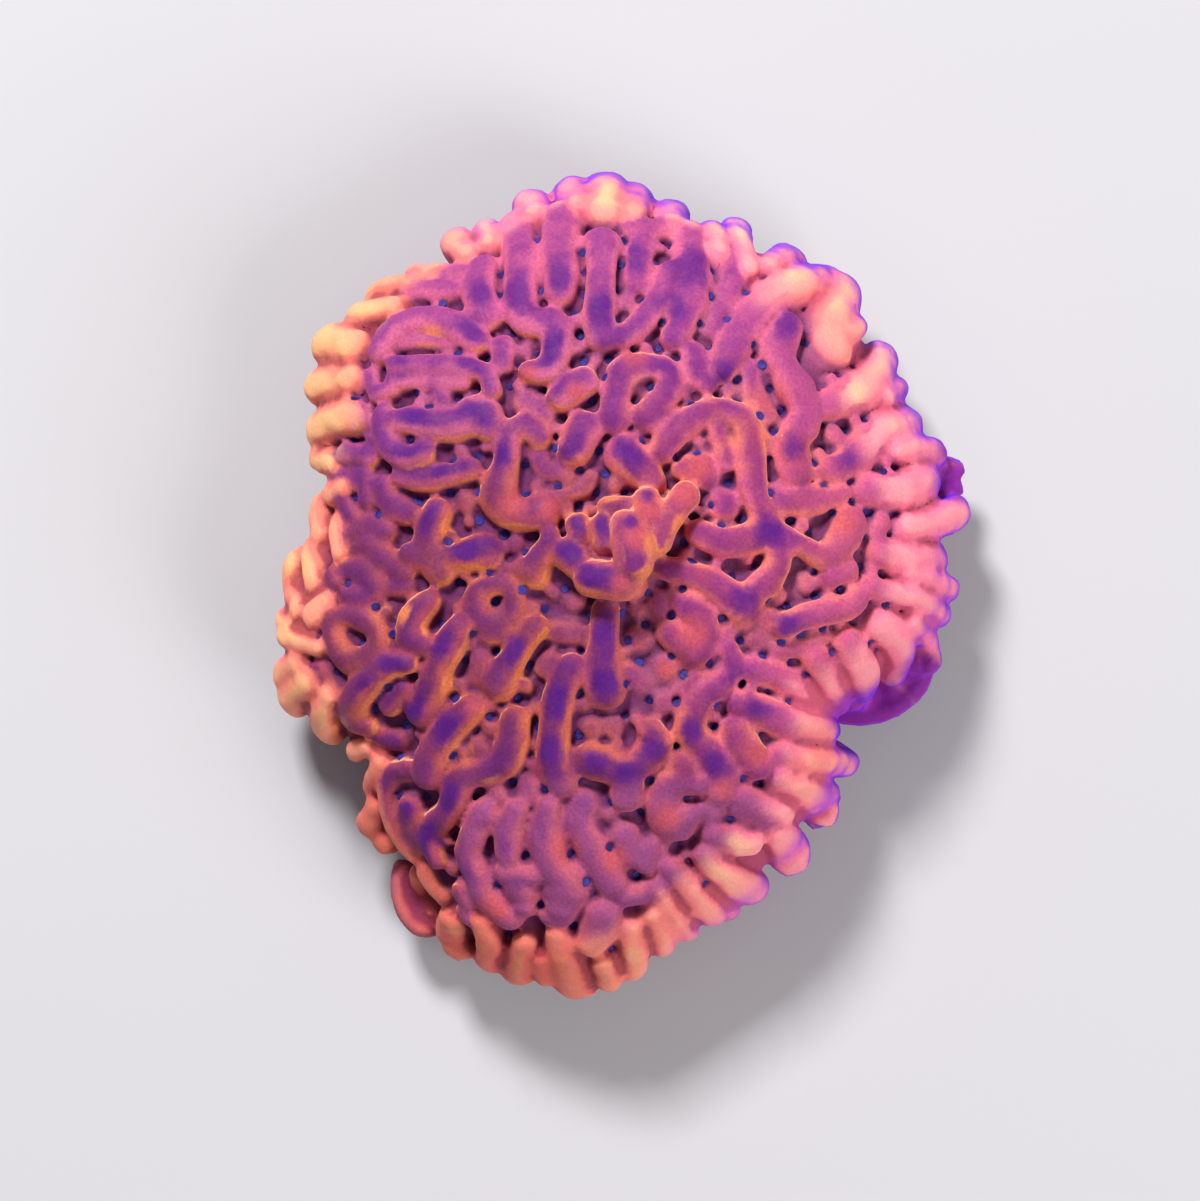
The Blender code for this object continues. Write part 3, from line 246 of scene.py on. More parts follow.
NORTH_WEST = [
    ("tall", (-21.8, 24.5, 1.3), (-20.5, 26.5, 1.6), (-17.5, 27.8, 1.6), (-14.3, 27.0, 1.6),
     (-12.2, 25.6, 1.2)),
    ("tall", (-20.3, 23.3, 1.0), (-17.0, 23.3, 1.1), (-13.5, 23.1, 1.1), (-11.3, 22.3, 1.0),
     (-10.7, 20.8, 0.9)),
    ("mid", (-19.2, 21.9, 1.2), (-16.5, 21.9, 1.3), (-13.5, 21.9, 1.3)),
    ("low", (-19.6, 25.5, 1.2), (-16.8, 25.8, 1.4), (-13.8, 25.2, 1.2)),
    ("mid", (-20.4, 22.0, 0.8), (-20.7, 21.0, 0.8), (-22.3, 20.4, 0.8)),
    ("low", (-22.6, 22.5, 0.9), (-22.4, 20.9, 0.8)),
    ("low", (-15.8, 20.0, 0.9), (-15.4, 19.6, 0.8)),
    ("tall", (-20.3, 17.8, 1.1), (-17.5, 17.6, 1.5), (-14.5, 17.2, 1.6), (-12.0, 18.2, 2.0),
     (-10.8, 17.2, 1.6)),
    ("tall", (-21.5, 18.6, 0.9), (-21.6, 17.3, 1.0), (-20.8, 15.2, 1.1), (-19.0, 14.2, 1.2),
     (-17.3, 14.6, 1.2)),
    ("mid", (-19.8, 12.4, 0.9), (-17.5, 11.9, 1.1), (-14.8, 12.5, 1.3), (-12.6, 12.9, 1.0)),
    ("tall", (-5.9, 16.0, 1.1), (-7.2, 17.2, 1.2), (-8.9, 16.2, 1.3), (-9.2, 14.0, 1.25), (-9.6, 12.2, 1.4),
     (-9.9, 10.4, 1.9), (-9.0, 9.0, 1.9), (-7.0, 8.6, 1.8), (-5.5, 8.7, 1.7)),
    ("low", (-5.0, 10.2, 0.7), (-3.0, 10.4, 0.6), (-1.5, 10.9, 0.7), (-0.8, 12.2, 0.8)),
    ("low", (-6.2, 14.6, 1.2), (-5.4, 12.6, 1.0)),
    ("low", (-4.2, 12.6, 1.0), (-3.2, 12.0, 1.0)),
    ("low", (-7.6, 19.6, 1.2), (-6.0, 18.9, 1.3), (-5.2, 17.9, 1.0)),
    ("rim", (-24.0, 28.4, 1.5), (-20.5, 29.0, 1.4)),
    ("rim", (-27.0, 25.8, 2.0), (-24.3, 25.1, 1.8)),
    ("rim", (-27.7, 21.6, 1.8), (-24.5, 21.9, 1.5)),
    ("rim", (-27.5, 17.3, 2.1), (-24.8, 18.3, 2.0), (-23.6, 18.0, 1.5)),
    ("rim", (-27.9, 14.4, 1.5), (-26.3, 13.6, 1.2)),
]
WEST = [
    ("tall", (-16.0, 8.8, 1.4), (-16.7, 6.8, 1.5), (-16.6, 4.8, 1.8), (-15.6, 2.9, 1.8)),
    ("tall", (-18.9, 4.6, 1.0), (-17.0, 4.2, 1.5)),
    ("tall", (-16.0, 4.0, 1.4), (-14.5, 4.2, 1.4), (-12.6, 4.6, 1.8), (-11.2, 4.7, 2.1)),
    ("tall", (-6.6, 2.9, 1.9), (-6.2, 3.6, 1.6), (-5.5, 5.2, 0.9), (-4.9, 6.6, 0.8)),
    ("mid", (-9.4, 1.6, 0.8), (-11.8, 1.1, 1.0), (-12.1, -1.0, 1.4), (-10.7, -2.7, 1.8), (-8.9, -1.8, 1.6),
     (-8.4, 0.3, 1.1), (-9.4, 1.6, 0.8)),
    ("mid", (-25.3, 14.6, 1.0), (-22.5, 14.3, 1.0)),
    ("mid", (-26.2, 13.0, 1.0), (-23.8, 12.0, 1.0)),
    ("mid", (-23.2, 12.5, 1.2), (-22.8, 10.0, 1.2)),
    ("low", (-22.4, 16.0, 0.8), (-21.8, 14.8, 0.8)),
    ("mid", (-21.3, 11.3, 1.3), (-20.5, 9.5, 1.5), (-18.8, 8.6, 1.2)),
    ("mid", (-25.2, 10.2, 1.1), (-24.3, 8.3, 1.1)),
    ("mid", (-23.8, 6.6, 1.4), (-22.4, 7.4, 1.6), (-21.0, 6.6, 1.4)),
    ("mid", (-22.6, 5.4, 1.5), (-20.9, 3.8, 1.4), (-19.2, 2.9, 1.3)),
    ("low", (-24.4, 6.2, 0.9), (-23.8, 5.2, 0.9)),
    ("low", (-20.4, 1.2, 0.9), (-18.8, 1.2, 0.9)),
    ("mid", (-24.6, 2.9, 1.1), (-22.8, 2.6, 1.5), (-21.8, 1.2, 1.5), (-23.2, 0.2, 1.3), (-24.8, 0.4, 0.9)),
    ("mid", (-26.6, 2.6, 0.9), (-26.0, 1.6, 0.9)),
    ("mid", (-24.8, -1.6, 1.1), (-26.2, -2.2, 1.2), (-26.0, -4.1, 1.3), (-24.8, -5.8, 1.4),
     (-22.9, -5.6, 1.2), (-21.6, -4.0, 1.1), (-22.8, -2.2, 1.2), (-24.8, -1.6, 1.1)),
]
WEST_RIM = [
    ("rim", (-27.5, 9.2, 1.8), (-27.4, 6.4, 1.8)),
    ("rim", (-26.4, 10.8, 1.3), (-25.2, 11.4, 1.1)),
    ("rim", (-26.0, 7.5, 1.2), (-25.6, 4.8, 1.2)),
    ("rim", (-28.5, 4.6, 1.6), (-28.0, 1.6, 1.6)),
    ("rim", (-30.4, 4.0, 1.3), (-30.5, 1.0, 1.4), (-29.6, -1.2, 1.5)),
    ("rim", (-28.2, -1.7, 1.6), (-27.0, -0.3, 1.3)),
    ("rim", (-31.6, -1.8, 1.2), (-30.8, -3.0, 1.0)),
    ("rim", (-31.3, -3.6, 1.2), (-29.5, -4.3, 1.0), (-28.0, -4.7, 0.8)),
    ("rim", (-31.3, -7.6, 1.7), (-29.8, -6.2, 1.4)),
    ("rim", (-30.6, -9.6, 2.0), (-28.6, -7.8, 1.9)),
    ("rim", (-27.2, -12.6, 1.7), (-27.4, -11.2, 1.6), (-27.0, -9.4, 1.2)),
    ("rim", (-24.4, -15.0, 1.2), (-23.0, -14.6, 1.0)),
    ("rim", (-22.7, -18.9, 1.2), (-22.0, -17.0, 1.1), (-21.8, -15.9, 1.0)),
    ("rim", (-22.9, -22.6, 1.5), (-22.2, -20.6, 1.3)),
    ("rim", (-21.6, -24.6, 1.2), (-21.9, -23.2, 1.3)),
    ("shelf", (-16.8, -33.0, 0.9), (-18.9, -32.5, 1.0), (-20.0, -30.7, 1.0), (-20.4, -28.4, 0.9),
     (-20.2, -26.8, 0.8)),
    ("shelf", (-16.6, -30.9, 1.2), (-17.7, -29.4, 1.2), (-18.0, -27.6, 1.2)),
]
SOUTH_WEST = [
    ("tall", (-16.8, 0.0, 1.2), (-18.2, -1.5, 1.4), (-18.7, -3.5, 1.5), (-17.3, -4.4, 1.2)),
    ("tall", (-13.9, -2.6, 1.2), (-15.0, -4.6, 1.6), (-15.9, -6.6, 1.4), (-16.5, -8.8, 1.9),
     (-17.6, -11.0, 1.6)),
    ("tall", (-18.8, -6.3, 0.9), (-20.8, -6.3, 1.2), (-22.5, -7.6, 1.3), (-24.0, -9.3, 1.5),
     (-24.4, -11.5, 1.5), (-23.0, -12.3, 1.2)),
    ("mid", (-20.8, -10.2, 1.3), (-19.3, -8.6, 0.9)),
    ("low", (-21.5, -13.3, 1.3), (-19.5, -13.8, 1.3)),
    ("tall", (-12.6, -10.6, 1.3), (-14.2, -12.0, 1.6), (-15.5, -13.8, 1.6), (-16.4, -15.5, 1.6),
     (-16.9, -17.2, 1.5)),
    ("tall", (-8.3, -11.6, 1.4), (-8.6, -13.8, 1.6), (-9.5, -15.9, 1.8), (-11.5, -17.0, 1.3),
     (-13.4, -17.4, 1.4), (-14.2, -19.2, 1.4), (-15.0, -20.9, 1.3), (-16.4, -22.3, 1.3),
     (-16.9, -23.8, 1.2), (-16.2, -25.8, 1.0)),
    ("low", (-11.6, -5.6, 1.1), (-12.0, -7.6, 1.1)),
    ("low", (-12.0, -14.2, 1.0), (-11.6, -14.8, 0.9)),
    ("low", (-27.6, -6.8, 1.2), (-26.2, -9.2, 1.2)),
    ("mid", (-18.8, -16.8, 1.2), (-20.3, -17.2, 1.2), (-21.0, -19.3, 1.2), (-20.6, -21.8, 1.2),
     (-19.3, -24.0, 1.3), (-18.4, -25.4, 1.0)),
    ("mid", (-18.6, -20.4, 1.5), (-18.3, -22.6, 1.4), (-18.2, -24.3, 1.1)),
    ("mid", (-17.2, -27.0, 1.3), (-16.4, -28.5, 1.2), (-15.6, -29.6, 1.0)),
    ("tall", (-11.2, -20.9, 1.4), (-12.3, -22.9, 1.3), (-12.9, -25.0, 1.3), (-12.0, -27.3, 1.5),
     (-11.3, -29.2, 1.5), (-9.8, -30.8, 1.4), (-8.9, -31.6, 1.2)),
    ("mid", (-13.6, -28.8, 1.2), (-13.0, -30.2, 0.9)),
    ("tall", (-8.2, -20.6, 1.1), (-8.9, -22.4, 1.3), (-9.0, -24.3, 1.3), (-9.0, -25.3, 1.1)),
]
SOUTH = [
    ("tall", (-6.2, -2.4, 1.1), (-7.6, -4.2, 1.3), (-8.7, -6.0, 1.4), (-9.9, -8.2, 1.8)),
    ("low", (-4.4, -3.0, 1.2), (-2.2, -3.3, 1.2)),
    ("low", (-5.6, -6.8, 0.9), (-4.6, -5.6, 0.9)),
    ("tall", (-2.8, -6.4, 1.3), (-3.6, -8.2, 1.5), (-4.2, -10.5, 1.65), (-4.5, -13.5, 1.65),
     (-4.5, -15.8, 1.6), (-3.7, -17.7, 1.7)),
    ("tall", (0.6, -1.0, 1.4), (0.4, -3.4, 1.3), (0.3, -6.3, 1.6), (0.5, -8.9, 1.8)),
    ("low", (3.6, -3.4, 1.3), (4.1, -3.9, 1.3)),
    ("low", (2.8, -6.8, 0.9), (4.2, -8.2, 1.5)),
    ("low", (6.3, -6.3, 1.5), (6.6, -6.9, 1.4)),
    ("low", (6.1, -9.8, 1.1), (6.3, -10.3, 1.1)),
    ("low", (-0.9, -12.4, 1.1), (-0.6, -12.9, 1.0)),
    ("low", (1.3, -12.1, 1.1), (1.3, -12.7, 1.0)),
    ("tall", (-1.2, -15.8, 1.6), (0.8, -16.2, 1.6), (2.5, -17.2, 1.5), (2.6, -19.3, 1.7)),
    ("tall", (2.4, -16.8, 1.2), (3.6, -16.3, 1.3), (5.3, -14.4, 1.8), (5.0, -12.8, 1.3)),
    ("low", (-6.9, -18.2, 1.2), (-6.6, -19.3, 1.3)),
    ("low", (-10.2, -18.8, 1.1), (-9.8, -19.3, 1.0)),
    ("tall", (-5.0, -20.2, 1.1), (-5.3, -22.3, 1.6), (-5.2, -24.2, 1.6), (-4.8, -26.0, 1.5),
     (-3.7, -27.3, 1.9), (-3.4, -28.8, 2.1), (-3.8, -30.3, 1.5)),
    ("tall", (-9.3, -27.0, 1.2), (-8.0, -27.1, 1.4), (-6.8, -27.1, 1.3)),
    ("tall", (-8.2, -27.8, 1.7), (-7.5, -29.3, 1.6), (-7.5, -30.2, 1.1)),
    ("mid", (-1.6, -19.8, 1.8), (-2.0, -21.4, 1.6), (-1.6, -22.8, 1.5), (-0.6, -24.8, 1.8),
     (0.4, -26.7, 1.9), (1.2, -28.0, 1.5)),
    ("mid", (2.3, -23.0, 1.5), (2.8, -25.2, 1.3)),
    ("mid", (4.4, -24.4, 1.4), (4.3, -25.9, 1.1)),
    ("mid", (2.4, -29.3, 1.0), (4.2, -28.9, 1.2), (5.6, -27.9, 1.1)),
    ("mid", (-5.0, -31.2, 1.1), (-3.6, -31.2, 1.1)),
    ("mid", (-13.6, -30.9, 0.9), (-12.8, -31.6, 0.8)),
]
SOUTH_RIM = [
    ("rim", (-14.0, -34.9, 1.6), (-14.6, -33.4, 1.8), (-14.6, -31.8, 1.4)),
    ("rim", (-11.0, -36.1, 1.5), (-11.0, -34.0, 1.3), (-12.0, -31.9, 0.9)),
    ("rim", (-8.1, -37.0, 1.9), (-7.8, -35.7, 1.7), (-7.5, -34.0, 1.2)),
    ("rim", (-5.4, -37.6, 1.2), (-5.8, -35.6, 1.3)),
    ("rim", (-2.3, -38.2, 2.2), (-2.9, -36.8, 2.4), (-3.5, -35.0, 1.9), (-4.2, -33.2, 1.2)),
    ("rim", (-0.8, -33.8, 1.8), (-0.2, -32.5, 2.1), (0.2, -31.0, 1.8)),
    ("rim", (0.8, -37.9, 1.3), (0.2, -36.0, 1.2)),
    ("rim", (3.0, -36.5, 1.6), (3.0, -34.4, 1.7), (2.7, -32.3, 1.4)),
    ("rim", (6.1, -34.4, 1.4), (5.6, -32.9, 1.6), (4.9, -31.1, 1.3)),
    ("rim", (8.8, -33.3, 1.2), (7.5, -31.8, 1.2), (6.3, -30.0, 1.1), (5.6, -28.6, 1.0)),
    ("rim", (11.2, -31.3, 1.5), (9.9, -30.0, 1.6), (8.2, -27.9, 1.3), (6.8, -26.4, 1.1)),
    ("shelf", (12.9, -31.2, 1.2), (12.6, -29.8, 1.1)),
    ("rim", (15.2, -29.0, 1.7), (13.4, -28.0, 2.0), (11.6, -26.6, 1.7), (10.3, -25.0, 1.3)),
    ("rim", (14.9, -23.9, 1.5), (13.3, -23.6, 1.7), (11.2, -23.0, 1.3)),
]
SOUTH_EAST = [
    ("tall", (8.3, -0.5, 1.4), (9.7, -1.3, 1.5), (10.2, -3.2, 1.8), (9.2, -4.9, 2.1)),
    ("tall", (9.2, -4.5, 1.9), (8.0, -4.1, 1.5), (6.9, -3.3, 1.2)),
    ("mid", (12.5, -4.6, 0.9), (12.9, -6.2, 1.2), (12.0, -7.8, 1.5)),
    ("tall", (11.4, -8.4, 1.4), (10.2, -9.2, 1.5), (9.4, -10.6, 1.4), (8.8, -12.5, 1.5), (10.2, -14.6, 1.6),
     (11.6, -16.6, 1.7), (12.0, -18.0, 1.8), (11.7, -19.0, 1.5)),
    ("low", (9.2, -7.6, 0.9), (8.8, -8.2, 0.9)),
    ("tall", (13.2, -12.9, 1.4), (14.0, -14.5, 1.8), (15.4, -16.3, 1.6)),
    ("tall", (8.0, -16.2, 1.2), (8.4, -17.5, 1.6), (9.7, -18.1, 1.0)),
    ("tall", (7.6, -17.6, 1.2), (6.4, -18.6, 1.4), (6.4, -20.6, 2.1), (7.4, -22.0, 2.1), (8.5, -21.3, 1.3)),
    ("mid", (10.2, -20.4, 1.0), (10.9, -20.9, 1.2)),
    ("rim", (22.0, -11.2, 1.3), (19.8, -9.0, 1.5), (17.8, -7.5, 1.5), (15.0, -6.7, 1.3)),
    ("rim", (22.4, -13.0, 1.5), (19.0, -12.3, 1.7), (16.0, -11.0, 1.6), (13.6, -10.2, 1.3)),
    ("rim", (25.0, -16.4, 1.1), (22.8, -16.1, 1.5), (20.2, -15.8, 1.5), (17.8, -15.2, 1.2)),
    ("rim", (22.4, -21.7, 1.6), (21.9, -20.0, 2.1), (19.8, -18.6, 1.7), (17.6, -17.6, 1.3)),
    ("rim", (18.2, -21.3, 1.2), (16.0, -20.4, 1.4), (13.8, -19.4, 1.2)),
    ("mid", (13.3, -20.2, 1.1), (15.6, -21.2, 1.2), (16.6, -21.8, 1.1)),
    ("rim", (19.4, -26.0, 1.9), (18.5, -24.6, 2.2), (17.4, -22.9, 1.6)),
]
RIDGES = (NORTH + NORTH_RIM + NORTH_EAST + EAST + CENTRE_RIDGES + KNOB + NORTH_WEST + WEST
          + WEST_RIM + SOUTH_WEST + SOUTH + SOUTH_RIM + SOUTH_EAST)


# Where the tissue changes colour, as (x, y, radius) on the ridges' grid
VIOLET = [
    (-16.3, 8.3, 2.2), (-13.0, 4.8, 2.0), (-18.8, 14.3, 1.8), (-15.0, 12.5, 2.0), (-15.0, -4.5, 1.8),
    (-18.0, -10.5, 1.8), (-14.5, -12.8, 2.2), (-20.5, -6.3, 1.6), (5.3, -14.4, 1.6), (-0.3, -15.9, 1.8),
    (16.6, 6.8, 2.0), (24.5, 14.0, 1.8), (18.2, 27.3, 2.0), (14.2, 0.2, 1.8), (8.8, -12.8, 1.8),
    (11.3, -16.2, 1.8), (18.5, -2.3, 1.6), (15.8, -10.4, 1.6), (13.8, -8.0, 1.5), (2.0, -17.0, 1.8),
    (-18.9, -20.6, 1.6), (-14.2, -19.6, 2.2), (-16.9, -23.3, 1.8), (-12.5, -27.2, 2.2),
    (-11.0, -21.3, 1.6), (-9.2, -24.2, 1.6), (-5.2, -22.3, 1.8), (-1.5, -19.8, 1.8), (-8.3, -27.8, 1.4),
    (-0.8, 2.0, 2.2), (-2.9, 4.6, 1.8), (-20.0, 26.3, 2.0), (-13.0, 26.6, 2.6), (-19.5, 22.8, 2.0),
    (-13.0, 22.6, 1.8), (-18.5, 17.4, 2.2), (-12.0, 18.2, 2.4), (-7.8, 30.5, 3.0), (-11.6, 30.8, 2.2),
    (-3.9, 32.0, 2.6), (-5.0, 25.0, 2.6), (0.1, 29.0, 2.0), (3.0, 34.0, 2.4), (8.8, 33.0, 3.0),
    (7.0, 29.0, 2.2), (-2.6, 14.6, 2.0), (2.6, 13.8, 2.2), (-9.2, 14.5, 2.0), (0.5, -3.0, 2.0),
    (0.4, -8.0, 2.0), (-8.3, -5.2, 2.0), (-4.0, -10.0, 2.2), (-4.5, -14.5, 2.0), (-23.0, -9.0, 1.8),
    (12.5, 22.0, 2.2), (19.0, 15.0, 1.6), (-2.2, 7.6, 1.6), (0.2, 7.6, 1.4), (3.0, 7.8, 0.9),
    (4.5, 10.4, 1.0),
]
GOLD = [
    (-15.3, 3.0, 1.6), (-15.0, 7.2, 1.6), (-17.2, -2.7, 1.2), (-19.3, -1.3, 1.4), (-15.0, -8.2, 1.8),
    (-13.6, -14.6, 1.6), (-7.3, -7.2, 1.4), (-17.0, 26.0, 1.8), (-12.6, -19.5, 1.4), (-8.0, -26.3, 1.4),
    (-1.5, -27.5, 1.4), (-13.6, -5.6, 1.2), (-11.0, -17.6, 1.4), (5.4, 5.0, 2.0), (3.6, 4.8, 1.8),
    (4.4, 2.8, 1.6), (7.2, 7.6, 1.6), (1.2, 9.4, 1.4), (-5.8, 2.4, 1.4), (-12.5, 3.0, 1.4),
    (-21.5, -0.8, 1.4),
]
CREAM = [
    (-27.5, 25.3, 3.2), (-28.2, 21.3, 3.0), (-28.2, 16.8, 3.4), (-27.8, 13.6, 2.0), (-23.5, 29.2, 2.4),
    (-31.0, -8.5, 2.4), (-31.5, -2.8, 2.0), (-30.2, 3.5, 2.0), (0.6, 40.6, 1.6), (13.5, 37.2, 1.8),
    (19.5, 33.0, 2.0), (24.0, 30.5, 2.4), (27.8, 24.3, 2.2), (25.5, 20.5, 2.0), (30.4, 17.3, 2.0),
    (13.7, -24.2, 1.8), (12.0, -27.3, 2.2), (2.7, -35.6, 1.6), (-8.3, -36.6, 1.6), (-14.4, -33.6, 1.8),
    (-27.0, -12.0, 2.0), (-11.2, 37.6, 1.6),
]
ROSE = [
    (3.5, 6.3, 1.8), (4.6, 9.0, 1.6), (8.3, 10.4, 1.8), (1.9, 1.6, 1.2), (9.2, -3.2, 2.2),
    (9.8, 13.2, 1.8), (6.7, -7.0, 1.8), (-8.5, 9.4, 2.0), (-5.0, 9.0, 1.6), (19.1, 14.5, 2.0),
    (24.2, 7.8, 2.0), (6.6, -21.4, 2.0), (15.5, -15.2, 1.6), (12.2, -18.6, 1.6), (-7.4, 22.6, 1.8),
    (-2.4, 20.6, 1.4), (-12.4, -11.0, 1.6), (-3.5, -24.5, 2.0), (-10.5, -30.5, 2.0), (1.4, -25.5, 2.0),
    (3.4, 24.0, 1.8), (17.0, 20.0, 2.0),
]
PEACH = [(22.5, 27.5, 8.0), (22.0, -16.0, 6.0), (2.0, 40.0, 8.0)]
PALE_SIDES_FROM = (0.0, -22.0)      # the ridges' painted edge highlights are on the sides that face away from here
# Painted shade lit blue: violet on the margin's shelf undersides at these places
LIP = [(25.5, -11.5, 3.0), (29.0, -11.0, 3.4), (32.5, -8.0, 3.0), (36.0, 12.0, 2.6), (36.0, 15.5, 2.4)]


def smooth_between(points, step):
    """Points of a Catmull-Rom curve through points, about step apart."""
    points = [np.array(p, dtype=float) for p in points]
    ends = [points[0] * 2 - points[1]] + points + [points[-1] * 2 - points[-2]]
    curve = []
    for before, start, end, after in zip(ends, ends[1:], ends[2:], ends[3:]):
        count = max(1, round(np.linalg.norm((end - start)[:3]) / step))
        for i in range(count):
            t = i / count
            curve.append(0.5 * (2 * start + (end - before) * t
                                + (2 * before - 5 * start + 4 * end - after) * t**2
                                + (3 * start - before - 3 * end + after) * t**3))
    return curve + [points[-1]]


def outline_table():
    """The outline as rising angles about the plan's centre and the distance out at each."""
    closed = smooth_between(OUTLINE + OUTLINE[:1], 1.0)[:-1]
    x, y = (np.array(closed) - PLAN_CENTRE).T
    angles = np.arctan2(y, x)
    order = np.argsort(angles)
    return angles[order], np.hypot(x, y)[order]


ANGLES, REACHES = outline_table()


def reach(x, y):
    """Distance from the plan's centre to the outline, on the way through (x, y)."""
    return np.interp(np.arctan2(y, x), ANGLES, REACHES, period=math.tau)


def dome_z(distance, edge, inset):
    """Height, distance out from the middle, of the dome shrunk inwards by inset all round."""
    share = np.minimum(distance / (edge - inset), 1.0)
    return GIRTH_Z + (CREST_Z - inset - GIRTH_Z) * np.sqrt(1 - share**DOME_POWER)


def flank_share(z):
    """Width of the flank at height z under the girth, as a share of the girth."""
    return 1 - (1 - CUT_WIDTH_SHARE) * (np.maximum(GIRTH_Z - z, 0) / GIRTH_Z) ** 1.5


def floor_lumps():
    """Small lumps scattered over the wide valley floors, written as the ridges are."""
    draw = random.Random(LUMP_SEED)
    taken = np.array([p[:3] for _, *plan in RIDGES for p in smooth_between(plan, PLAN_STEP)])
    lumps = []
    for _ in range(LUMP_TRIES):
        turn = draw.uniform(0, math.tau)
        way = np.array((math.cos(turn), math.sin(turn)))
        place = PLAN_CENTRE + way * reach(*way) * 0.86 * math.sqrt(draw.random())
        gap = (np.hypot(*(taken[:, :2] - place).T) - taken[:, 2]).min()
        if gap < LUMP_GAP:
            continue
        radius = min(gap, LUMP_RADIUS)
        turn = draw.uniform(0, math.tau)
        end = place + np.array((math.cos(turn), math.sin(turn))) * radius * 0.4
        lumps.append(("floor", (*place, radius), (*end, radius * 0.85)))
        taken = np.vstack([taken, (*place, LUMP_SPACING - LUMP_GAP)])
    return lumps


def ridge_line(kind, plan):
    """A ridge's centre line as (x, y, z, radius, foot depth), lobes with their run down the flank."""
    drop = CLASSES[kind][0]
    points = []
    for x, y, radius, *lift in plan:
        dx, dy = x - PLAN_CENTRE[0], y - PLAN_CENTRE[1]
        swell = 1 + UNEVEN * noise.noise(Vector((dx, dy, 0)) / UNEVEN_STEP)
        z = dome_z(math.hypot(dx, dy), reach(dx, dy), radius) - drop + sum(lift)
        foot = VALLEY_DEPTH + ROOT - radius * TALL + sum(lift)
        points.append((dx, dy, z, radius * swell, foot))
    x, y, z, radius, foot = points[0]
    outer = math.hypot(x, y)
    edge = reach(x, y)
    if kind not in ("rim", "shelf") or outer < 0.85 * edge:
        return points
    tail = []
    for i in range(TAIL_STEPS, 0, -1):
        share = i / TAIL_STEPS
        low = z + (TAIL_END_Z - z) * share
        narrow = radius * (1 - TAIL_TAPER * share)
        out = min((edge - VALLEY_DEPTH) * flank_share(min(low, GIRTH_Z)) + narrow * 0.4, outer)
        tail.append((x * out / outer, y * out / outer, low, narrow, foot))
    return tail + points


def round_ends(points):
    """Adds a half ball's worth of narrowing points beyond each end of a centre line."""
    def cap(end, neighbour):
        along = (end - neighbour)[:3]
        along /= np.linalg.norm(along)
        for degrees in (25, 48, 68, 85):
            turn = math.radians(degrees)
            centre = end[:3] + along * end[3] * math.sin(turn)
            yield np.array((*centre, end[3] * math.cos(turn), end[4]))
    return list(cap(points[0], points[1]))[::-1] + points + list(cap(points[-1], points[-2]))


def section(kind, radius, foot):
    """A ridge's section as (sideways, outwards): a rounded top on steeper flanks."""
    half = radius * CLASSES[kind][1]
    sides = []
    for i in range(SECTION_SIDES):
        turn = math.tau * i / SECTION_SIDES
        across, up = math.cos(turn), math.sin(turn)
        if up < 0:
            across = math.copysign(abs(across) ** FOOT_ROUND, across)
        sides.append((half * across, up * (radius * TALL if up > 0 else foot)))
    return sides


def add_ridge(bm, kind, plan):
    """One ridge in bm.  Returns its centre line as (place, radius, outward way, whether a lobe)."""
    points = round_ends(smooth_between(ridge_line(kind, plan), SAMPLE_STEP))
    rings = []
    spine = []
    for i, p in enumerate(points):
        place = Vector(p[:3])
        along = Vector((points[min(i + 1, len(points) - 1)] - points[max(i - 1, 0)])[:3]).normalized()
        core = Vector((p[0] * CORE[0], p[1] * CORE[1], CORE[2]))
        side = along.cross(place - core).normalized()
        out = side.cross(along)
        foot = p[4] * min(1.0, p[3] / CAP_FOOT)
        ring = [place + side * s + out * o for s, o in section(kind, p[3], foot)]
        rings.append([bm.verts.new(v * MM) for v in ring])
        spine.append((place, p[3], out, kind in ("rim", "shelf", "fold")))
    for first, second in zip(rings, rings[1:]):
        for j in range(SECTION_SIDES):
            k = (j + 1) % SECTION_SIDES
            bm.faces.new((first[j], first[k], second[k], second[j]))
    bm.faces.new(rings[0][::-1])
    bm.faces.new(rings[-1])
    return spine


def add_dome(bm):
    """The closed dome of the valley floors, down past the cut."""
    turns = [math.tau * i / DOME_SIDES for i in range(DOME_SIDES)]
    ways = [(math.cos(turn), math.sin(turn)) for turn in turns]
    loops = []
    for share in (0.15, 0.35, 0.55, 0.7, 0.8, 0.88, 0.94, 0.98):
        loop = []
        for x, y in ways:
            edge = reach(x, y)
            out = (edge - VALLEY_DEPTH) * share
            loop.append(Vector((out * x, out * y, dome_z(out, edge, VALLEY_DEPTH))))
        loops.append(loop)
    for z in (GIRTH_Z, 6.5, 4.0, 1.5, -2.0):
        widths = [(reach(x, y) - VALLEY_DEPTH) * flank_share(z) for x, y in ways]
        loops.append([Vector((x * w, y * w, z)) for (x, y), w in zip(ways, widths)])
    loops = [[bm.verts.new(v * MM) for v in loop] for loop in loops]
    for upper, lower in zip(loops, loops[1:]):
        for i in range(DOME_SIDES):
            j = (i + 1) % DOME_SIDES
            bm.faces.new((upper[i], lower[i], lower[j], upper[j]))
    bm.faces.new(loops[0])
    bm.faces.new(loops[-1][::-1])


def placed(name, data):
    """A new object of data, in the scene."""
    thing = bpy.data.objects.new(name, data)
    bpy.context.scene.collection.objects.link(thing)
    return thing


def evaluated(mesh, *modifiers):
    """mesh after modifiers, each given as (type, settings)."""
    holder = placed("holder", mesh)
    for kind, settings in modifiers:
        modifier = holder.modifiers.new(kind.lower(), kind)
        for name, value in settings.items():
            setattr(modifier, name, value)
    depsgraph = bpy.context.evaluated_depsgraph_get()
    result = bpy.data.meshes.new_from_object(holder.evaluated_get(depsgraph))
    bpy.data.objects.remove(holder)
    return result


